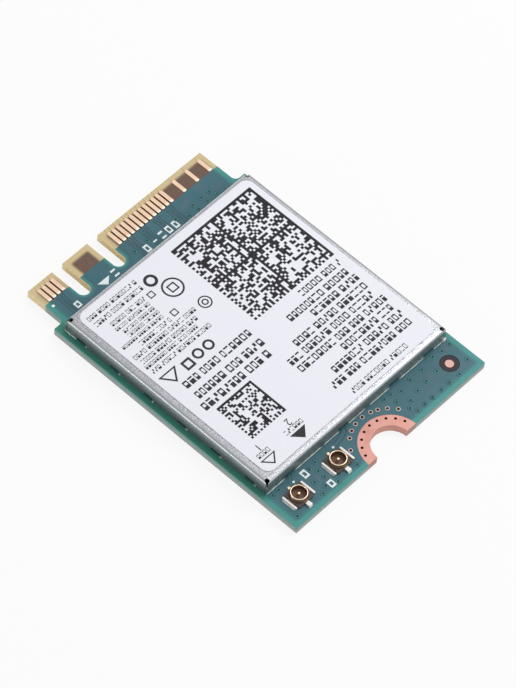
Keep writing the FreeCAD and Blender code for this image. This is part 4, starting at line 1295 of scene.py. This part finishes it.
class CARD_OT_can(bpy.types.Operator):
    """Builds the folded shield can and the solder along its feet"""

    bl_idname = "card.can"
    bl_label = "Shield can"

    def execute(self, context):
        s = drawn(context.scene.card_can)
        low, high = (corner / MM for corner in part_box("shield_can"))
        top, foot = high.z, high.z - s.height
        folded = self.crowned(s, low, high)
        inside = rounded_block(
            (low.x + s.sheet, low.y + s.sheet, foot - RIGHT_OUT),
            (high.x - s.sheet, high.y - s.sheet, top - s.sheet),
            s.fold - s.sheet,
            3,
            lambda edge: min(v.co.z for v in edge.verts) > foot,
        )
        sheet = cut(folded, [(inside, 0)])
        openings, notches = [], []
        radius, base = s.relief_radius, top - s.relief_depth
        rod = [(0.0, base), (radius, base), (radius, top + RIGHT_OUT), (0.0, top + RIGHT_OUT)]
        for x in (low.x + s.relief_inset, high.x - s.relief_inset):
            for y in (low.y + s.relief_inset, high.y - s.relief_inset):
                openings.append((moved(turned(rod, 24), x, y), 0))
                notch = self.notch(s, top, s.far_notch if min(x, y) > 0 else s.notch)
                notch.transform(Matrix.Rotation(math.atan2(math.copysign(1.0, y), math.copysign(1.0, x)), 4, "Z"))
                notches.append((moved(notch, x, y), 0))
        gap_top = foot + s.gap_height
        for axis, middles, width in ((0, SIDE_GAPS, s.side_gap), (1, END_GAPS, s.end_gap)):
            for middle in middles:
                for wall in (low[axis], high[axis]):
                    spans = (wall - BEYOND, wall + BEYOND), (middle - width / 2, middle + width / 2)
                    (x, x_end), (y, y_end) = spans[::-1] if axis else spans
                    corners = (x, y, foot - BELOW), (x_end, y_end, gap_top)
                    openings.append((rounded_block(*corners, s.gap_corner, 3), 0))
        sheet = cut(cut(sheet, openings), notches)
        slits = []
        for x, x_end in ((low.x - BEYOND, low.x + s.sheet), (high.x - s.sheet, high.x + BEYOND)):
            for y in (low.y + s.sheet, high.y - s.sheet - s.slit):
                corners = (x, y, foot - BELOW), (x_end, y + s.slit, top - s.crown - s.fold)
                slits.append((rounded_block(*corners, 0.0), 0))
        sheet = cut(sheet, slits)
        sheet.shade_smooth()
        sheet.set_sharp_from_angle(angle=math.radians(30))
        holder = bpy.data.objects.new("sheet", sheet)
        holder.modifiers.new("even", "WEIGHTED_NORMAL").keep_sharp = True
        tinned = [finish("Tinned sheet")]
        piece("shield_can_sheet", baked(holder), tinned, "tinned_sheet", ["shield_can"], smooth=None)
        self.solder_feet(s, low, high, foot)
        return {"FINISHED"}

    @staticmethod
    def notch(s, top, width):
        """A wedge along +X, wide at the top, that opens a relief hole towards its corner."""
        shape = bmesh.new()
        ends, over = [], 0.05
        for x in (0.0, 2 * s.relief_inset):
            section = ((s.slit / 2, top - s.notch_depth), (width / 2, top + over))
            corners = [(x, y, z) for y, z in section] + [(x, -y, z) for y, z in reversed(section)]
            ends.append([shape.verts.new(corner) for corner in corners])
        near, far = ends
        shape.faces.new(near)
        shape.faces.new(far)
        for i in range(4):
            shape.faces.new((near[i - 1], near[i], far[i], far[i - 1]))
        bmesh.ops.recalc_face_normals(shape, faces=shape.faces)
        return from_bmesh(shape)

    @staticmethod
    def crowned(s, low, high):
        """A solid block with folded upper edges, its upper face falling a little towards them."""
        edge_top = high.z - s.crown
        block = rounded_block(
            low,
            (high.x, high.y, edge_top),
            s.fold,
            s.fold_steps,
            lambda edge: min(v.co.z for v in edge.verts) > edge_top - s.fold,
        )
        shape = bmesh.new()
        shape.from_mesh(block)
        top = max(shape.faces, key=lambda face: face.calc_center_median().z)
        step = s.crown_width / len(CROWN_STEPS)
        for share in CROWN_STEPS:
            bmesh.ops.inset_region(shape, faces=[top], thickness=step, depth=s.crown * share)
        return from_bmesh(shape)

    @staticmethod
    def solder_feet(s, low, high, foot):
        """Solder along the feet of the four walls; along the left wall it lies mostly under the sheet."""
        level = foot + s.bead * 0.3
        out = s.bead_offset

        def feet(start, middles, width, end):
            edges = [start, *(m + side * width / 2 for m in middles for side in (-1, 1)), end]
            return zip(edges[::2], edges[1::2])

        paths = [[(a, low.y - out, level), (b, low.y - out, level)] for a, b in NEAR_BEADS]
        ends = feet(low.x, END_GAPS, s.end_gap, high.x)
        paths += [[(a, high.y + out, level), (b, high.y + out, level)] for a, b in ends]
        for a, b in feet(low.y, SIDE_GAPS, s.side_gap, high.y):
            paths.append([(high.x + out, a, level), (high.x + out, b, level)])
            seen_from = a if b == high.y else b - s.foot_dot
            paths.append([(low.x - out, seen_from, level), (low.x - out, b, level)])
        solder_run = beads(paths, s.bead, s.bead_step, s.unevenness, seed=3.0, finish=finish("Solder"))
        corner = [(high.x + x, low.y - out + y, level) for x, y in CORNER_RUN]
        corner_run = beads([corner], s.corner_bead, s.bead_step, 0.0, seed=3.0, finish=finish("Solder"))
        piece("shield_can_solder", joined((solder_run, 0), (corner_run, 0)), [finish("Solder")], "tinned_sheet")


def box_loop(low_x, low_y, high_x, high_y):
    return [(low_x, low_y), (high_x, low_y), (high_x, high_y), (low_x, high_y)]


def mark_shapes(stroke, ink):
    """Plain marks on a square of side 1 that stand in for print: frames, bars and blocks, and no letters."""
    half, inner = 0.5, 0.5 - stroke
    sill, block_top, parting = -0.06, 0.12, 0.03

    def bar(*corners):
        return plate(box_loop(*corners), 0.0, ink), 0

    return {
        "frame": plate(box_loop(-half, -half, half, half), 0.0, ink, [box_loop(-inner, -inner, inner, inner)]),
        "bars": joined(bar(-half, inner, half, half), bar(-half, -half, half, -inner)),
        "block": plate(box_loop(-half, -half, half, half), 0.0, ink, [box_loop(-inner, sill, inner, inner)]),
        "low block": joined(bar(-half, -half, half, block_top), bar(-half, inner, half, half)),
        "chequer": joined(bar(-half, -half, -parting, -parting), bar(parting, parting, half, half)),
    }


class CARD_OT_label(bpy.types.Operator):
    """Builds the sticker and its print: codes, rows of plain marks and simple signs"""

    bl_idname = "card.label"
    bl_label = "Label"

    def execute(self, context):
        s = drawn(context.scene.card_label)
        low, high = (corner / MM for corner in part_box("label"))
        surface = high.z - s.ink
        film = plate(rounded_rectangle(low, high, s.corner), low.z, surface, (), s.edge)
        piece("label_film", film, [finish("Label film")], "label_film", ["label"])
        ink = finish("Print ink")
        piece("label_codes", joined(*self.codes(s, surface, ink)), [ink], "label_film")
        bold = self.rows(s, surface, ink, BOLD_ROWS, s.bold_stroke, s.seed)
        fine = self.rows(s, surface, ink, FINE_ROWS, s.fine_stroke, s.seed + 1)
        piece("label_print", joined(*bold, *fine), [ink], "label_film")
        piece("label_signs", joined(*self.signs(s, surface)), [ink], "label_film")
        return {"FINISHED"}

    @staticmethod
    def codes(s, surface, ink):
        """Made-up square codes: solid and dotted borders about random modules."""
        parts = []
        for seed, (corner, sides, modules, regions) in enumerate(CODES):
            module = [side / modules for side in sides]
            half = [size / 2 + s.spread for size in module]
            square = plate(box_loop(-half[0], -half[1], half[0], half[1]), 0.0, s.ink)
            region = modules // regions
            always, sometimes = [], []
            for i in range(modules):
                for j in range(modules):
                    place = corner[0] + (i + 0.5) * module[0], corner[1] + (j + 0.5) * module[1], surface
                    column, row = i % region, j % region
                    if column == region - 1 or row == region - 1:
                        always.append(place)
                    elif column == 0 or row == 0:
                        if (column + row) % 2 == 0:
                            always.append(place)
                    else:
                        sometimes.append(place)
            parts.append((repeated(square.copy(), always, ink), 0))
            parts.append((repeated(square, sometimes, ink, share=s.share, seed=s.seed + seed), 0))
        return parts

    @staticmethod
    def rows(s, surface, ink, rows, stroke, seed):
        """Rows of plain marks in words of random length."""
        dice = random.Random(seed)
        shapes = mark_shapes(stroke, s.ink)
        marks = {kind: ([], []) for kind in shapes}
        for start, end, middle, height in rows:
            x, word = start, dice.randint(*WORD_LENGTHS)
            while x < end - height * MARK_WIDTHS[0]:
                width = height * dice.choice(MARK_WIDTHS)
                places, sizes = marks[dice.choices(list(shapes), MARK_WEIGHTS)[0]]
                places.append((x + width / 2, middle, surface))
                sizes.append((width, height, 1.0))
                word -= 1
                x += width + height * MARK_GAP
                if word == 0:
                    x, word = x + height * WORD_GAP, dice.randint(*WORD_LENGTHS)
        used = [(shapes[kind], *lists) for kind, lists in marks.items() if lists[0]]
        return [(repeated(shape, places, ink, sizes), 0) for shape, places, sizes in used]

    @staticmethod
    def signs(s, surface):
        """Rings, framed squares, triangles and the two antenna numbers."""
        top = surface + s.ink

        def ring(x, y, radius, stroke):
            outer_loop, inner_loop = (circle((x, y), r, ROUND_SIDES) for r in (radius, radius - stroke))
            return plate(outer_loop, surface, top, [inner_loop]), 0

        def framed(x, y, side, stroke):
            reaches = side / 2, side / 2 - stroke
            outer_loop, inner_loop = (box_loop(x - r, y - r, x + r, y + r) for r in reaches)
            return plate(outer_loop, surface, top, [inner_loop]), 0

        def triangle(x, base, apex, half, stroke):
            outer_loop = [(x - half, base), (x + half, base), (x, apex)]
            if not stroke:
                return plate(outer_loop, surface, top), 0
            middle = Vector((x, (2 * base + apex) / 3))
            inner_loop = [tuple(middle + (Vector(point) - middle) * (1 - stroke)) for point in outer_loop]
            return plate(outer_loop, surface, top, [inner_loop]), 0

        def digit(text, x, y, height):
            curve = bpy.data.curves.new("digit", "FONT")
            curve.body, curve.size, curve.extrude = text, height, s.ink / 2
            curve.align_x = curve.align_y = "CENTER"
            mesh = baked(bpy.data.objects.new("digit", curve))
            shape = bmesh.new()
            shape.from_mesh(mesh)
            bmesh.ops.remove_doubles(shape, verts=shape.verts, dist=1e-5)
            bmesh.ops.rotate(shape, verts=shape.verts, matrix=Matrix.Rotation(math.pi, 3, "Z"))
            bmesh.ops.translate(shape, verts=shape.verts, vec=(x, y, surface + s.ink / 2))
            return from_bmesh(shape), 0

        tables = (ring, SIGN_RINGS), (framed, SIGN_SQUARES), (triangle, SIGN_TRIANGLES), (digit, SIGN_NUMBERS)
        return [draw(*row) for draw, rows in tables for row in rows]


class CARD_OT_receptacles(bpy.types.Operator):
    """Builds the two antenna receptacles with their solder"""

    bl_idname = "card.receptacles"
    bl_label = "Antenna receptacles"

    def execute(self, context):
        s = drawn(context.scene.card_receptacles)
        level = drawn(context.scene.card_board).thickness
        shell = [finish("Plated shell"), finish("Tinned legs"), finish("Plated lip")]
        insulator = [finish("Dark moulding"), finish("Ring floor")]
        for name, (x, y) in RECEPTACLES.items():
            for suffix, mesh, finishes, slot in (
                ("shell", self.shell(s), shell, "plated_shell"),
                ("insulator", self.insulator(s), insulator, "dark_moulding"),
                ("contact", self.contact(s), [finish("Plated lip")], "contact_gold"),
            ):
                node = f"{name}_antenna_{suffix}"
                piece(f"{name}_receptacle_{suffix}", moved(mesh, x, y, level), finishes, slot, [node])
            outside, along = s.leg_reach + 0.02, s.leg_length / 2 - 0.05
            foot, foot_half = y - s.foot_reach - 0.01, s.foot_width / 2
            rear, rear_half = y + s.signal_reach, s.signal_width / 2
            paths = [
                [(x - outside, y - along, level), (x - outside, y + along, level)],
                [(x + outside, y - along, level), (x + outside, y + along, level)],
                [(x - foot_half, foot, level), (x + foot_half, foot, level)],
                [(x - rear_half, rear, level), (x + rear_half, rear, level)],
            ]
            joints = beads(paths, s.joint, s.joint_step, s.unevenness, seed=5.0 + x, finish=finish("Solder"))
            piece(f"{name}_receptacle_solder", joined((joints, 0)), [finish("Solder")], "plated_shell")
        return {"FINISHED"}

    @staticmethod
    def shell(s):
        """Ring with a rolled lip and a clip groove, straps, side legs and front foot."""
        outer, bore, top = s.ring_radius, s.ring_radius - s.ring_wall, s.height
        roll = s.ring_wall / 2
        waist = outer - s.groove
        heights = [top * share for share in GROOVE_HEIGHTS]
        profile = [(bore, s.lift), (outer, s.lift)]
        profile += zip((outer, waist, waist, outer), heights)
        profile += [(outer, top - roll)]
        profile += arc((outer - roll, top - roll), roll, 22.5, 180, 22.5)
        strap_top = s.lift + s.sheet
        reach, half = s.leg_reach - s.leg_width / 2, s.strap_width / 2
        spread = math.degrees(math.asin(half / (outer - roll)))
        strap = [(reach, half), *arc((0.0, 0.0), outer - roll, spread, -spread), (reach, -half)]
        turns = ([(side * x, side * y) for x, y in strap] for side in (-1, 1))
        drop, lap, clear = 0.008, 0.05, 0.02
        straps = [plate(turn, s.lift, strap_top - drop, rounding=s.edge) for turn in turns]
        along = s.leg_length / 2
        legs = [
            rounded_block((low, -along, 0.0), (low + s.leg_width, along, strap_top), s.bend)
            for low in (-s.leg_reach, s.leg_reach - s.leg_width)
        ]
        block, across = s.insulator / 2, s.foot_width / 2
        foot = rounded_block((-across, -s.foot_reach, 0.0), (across, -block, strap_top), s.bend)
        neck = rounded_block((-across, -block - lap, s.lift), (across, -bore - clear, strap_top), s.edge)
        ring = turned(profile, RING_SIDES)
        # Painted highlight: the lip takes the bright copy of the plating, the walls the dark one.
        for face in ring.polygons:
            face.material_index = 2 if face.center.z > top - roll else 0
        return joined(
            (ring, None),
            *((strap, 0) for strap in straps),
            *((leg, 1) for leg in legs),
            (foot, 1),
            (neck, 0),
        )

    @staticmethod
    def insulator(s):
        """Moulded block under the straps, with a floor inside the ring."""
        half, strap_top = s.insulator / 2, s.lift + s.sheet
        bore = s.ring_radius - s.ring_wall
        outline = rounded_rectangle((-half, -half), (half, half), s.corner, 30)
        clear, sunk = 0.004, 0.02
        around, hole = circle((0.0, 0.0), s.ring_radius, RING_SIDES), circle((0.0, 0.0), s.pin_radius, SMALL_SIDES)
        block = plate(outline, s.lift, strap_top - clear, [around], s.edge)
        floor = plate(outline, 0.0, s.lift, [hole], s.edge)
        pin, base = s.pin_radius, s.lift - sunk
        # Painted bounce light: the floor inside the ring takes the warm finish.
        dish = [(pin, base), (bore, base), (bore, s.lift + 0.01), (pin + 0.1, s.lift), (pin, s.lift + 0.03)]
        return joined((block, 0), (floor, 0), (turned(dish, RING_SIDES), 1))

    @staticmethod
    def contact(s):
        """Round-tipped pin and the signal foot behind it."""
        radius, tip = s.pin_radius, s.pin_tip
        round_end = arc((radius - tip, s.pin_height - tip), tip, 0, 90, 22.5)
        pin = [(0.0, 0.0), (radius, 0.0), *round_end, (0.0, s.pin_height)]
        half = s.signal_width / 2
        foot = rounded_block((-half, 0.0, 0.0), (half, s.signal_reach, s.signal_sheet), s.signal_edge)
        return joined((turned(pin, 24), 0), (foot, 0))


class CARD_OT_inner_parts(bpy.types.Operator):
    """Gives the solids under the can their finishes"""

    bl_idname = "card.inner_parts"
    bl_label = "Parts under the can"

    def execute(self, context):
        for row in frame["record"]["subparts"]:
            node = frame["nodes"][row["node"]]
            if node.hide_render:
                continue
            shade = finish(SLOT_FINISHES[row["material_slot"]])
            if not node.material_slots:
                node.data.materials.append(shade)
            for place in node.material_slots:
                place.material = shade
        return {"FINISHED"}


class CARD_OT_stage(bpy.types.Operator):
    """Sets the floor, the lights and the camera"""

    bl_idname = "card.stage"
    bl_label = "Stage"

    def execute(self, context):
        s = context.scene.card_stage
        self.floor(context.scene, s)
        self.sky(context.scene, s)
        for name, place, size, setting in LAMPS:
            lamp = bpy.data.lights.new(name, "AREA")
            lamp.shape, lamp.size, lamp.energy = "DISK", size, getattr(s, setting)
            holder = bpy.data.objects.new(name, lamp)
            aim = (-Vector(place)).to_track_quat("-Z", "Y").to_matrix().to_4x4()
            holder.matrix_world = Matrix.Translation(place) @ aim
            context.scene.collection.objects.link(holder)
        self.camera(context.scene, s)
        context.scene.view_settings.view_transform = "Standard"
        return {"FINISHED"}

    @staticmethod
    def seen(start):
        """1 for what the camera sees, also in gloss and through glass."""
        path = start.tree.nodes.new("ShaderNodeLightPath")
        names = "Is Camera Ray", "Is Glossy Ray", "Is Transmission Ray"
        camera, gloss, glass = (Wire(start.tree, path.outputs[name]) for name in names)
        return camera.most(gloss).most(glass)

    def floor(self, scene, s):
        half, below = s.floor / 2, -0.01 * MM
        mesh = bpy.data.meshes.new("floor")
        mesh.from_pydata([(x, y, below) for x, y in box_loop(-half, -half, half, half)], [], [(0, 1, 2, 3)])
        material = bpy.data.materials.new("Floor")
        material.use_nodes = True
        tree = material.node_tree
        paper = tree.nodes["Principled BSDF"]
        paper.inputs["Base Color"].default_value = (0.9, 0.9, 0.9, 1.0)
        paper.inputs["Roughness"].default_value = 0.9
        paper.inputs["Specular IOR Level"].default_value = 0.0
        start = Wire(tree, paper.outputs[0])
        white = start.node("ShaderNodeEmission", None, {"Color": (1.0, 1.0, 1.0, 1.0), "Strength": 1.0})
        both = start.node("ShaderNodeMixShader", None, {0: self.seen(start) * s.glow, 1: start, 2: white})
        tree.links.new(both.socket, tree.nodes["Material Output"].inputs["Surface"])
        mesh.materials.append(material)
        floor = bpy.data.objects.new("floor", mesh)
        scene.collection.objects.link(floor)

    def sky(self, scene, s):
        world = bpy.data.worlds.new("Sky")
        scene.world = world
        world.use_nodes = True
        tree = world.node_tree
        light = tree.nodes["Background"]
        light.inputs["Color"].default_value = (1.0, 1.0, 1.0, 1.0)
        start = Wire(tree, light.outputs[0])
        fill(light.inputs["Strength"], self.seen(start) * (1.0 - s.sky) + s.sky)

    @staticmethod
    def camera(scene, s):
        flat = math.cos(s.elevation)
        back = Vector((math.sin(s.azimuth) * flat, -math.cos(s.azimuth) * flat, math.sin(s.elevation)))
        right = Vector((0.0, 0.0, 1.0)).cross(back).normalized()
        up = back.cross(right)
        across = right * math.cos(s.roll) + up * math.sin(s.roll)
        upward = up * math.cos(s.roll) - right * math.sin(s.roll)
        lens = bpy.data.cameras.new("Camera")
        lens.lens, lens.sensor_width, lens.sensor_fit = s.lens, 36.0, "AUTO"
        lens.clip_start, lens.clip_end = 0.01, 10.0
        camera = bpy.data.objects.new("Camera", lens)
        turned_to = Matrix((across, upward, back)).transposed().to_4x4()
        camera.matrix_world = Matrix.Translation(Vector(s.target) + back * s.distance) @ turned_to
        scene.collection.objects.link(camera)
        scene.camera = camera


PIECES = (
    CARD_OT_board,
    CARD_OT_board_details,
    CARD_OT_contacts,
    CARD_OT_land,
    CARD_OT_can,
    CARD_OT_label,
    CARD_OT_receptacles,
    CARD_OT_inner_parts,
    CARD_OT_stage,
)
GROUPS = {
    "card_board": BoardSizes,
    "card_contacts": ContactSizes,
    "card_land": LandSizes,
    "card_can": CanSizes,
    "card_label": LabelSizes,
    "card_receptacles": ReceptacleSizes,
    "card_colours": CardColours,
    "card_stage": StageSettings,
}


class CARD_PT_pieces(bpy.types.Panel):
    """Lists the card's pieces and their sizes"""

    bl_idname = "CARD_PT_pieces"
    bl_label = "Wireless network card"
    bl_space_type = "VIEW_3D"
    bl_region_type = "UI"
    bl_category = "Card"

    def draw(self, context):
        for each in PIECES:
            self.layout.operator(each.bl_idname)
        for name, group in GROUPS.items():
            box = self.layout.box()
            for key in group.__annotations__:
                box.prop(getattr(context.scene, name), key)


def register():
    for each in (*GROUPS.values(), *PIECES, CARD_PT_pieces):
        bpy.utils.register_class(each)
    for name, group in GROUPS.items():
        setattr(bpy.types.Scene, name, bpy.props.PointerProperty(type=group))


def unregister():
    for name in GROUPS:
        delattr(bpy.types.Scene, name)
    for each in reversed((*GROUPS.values(), *PIECES, CARD_PT_pieces)):
        bpy.utils.unregister_class(each)


def main():
    register()
    for each in PIECES:
        group, step = each.bl_idname.split(".")
        getattr(getattr(bpy.ops, group), step)()


if __name__ == "__main__":
    main()
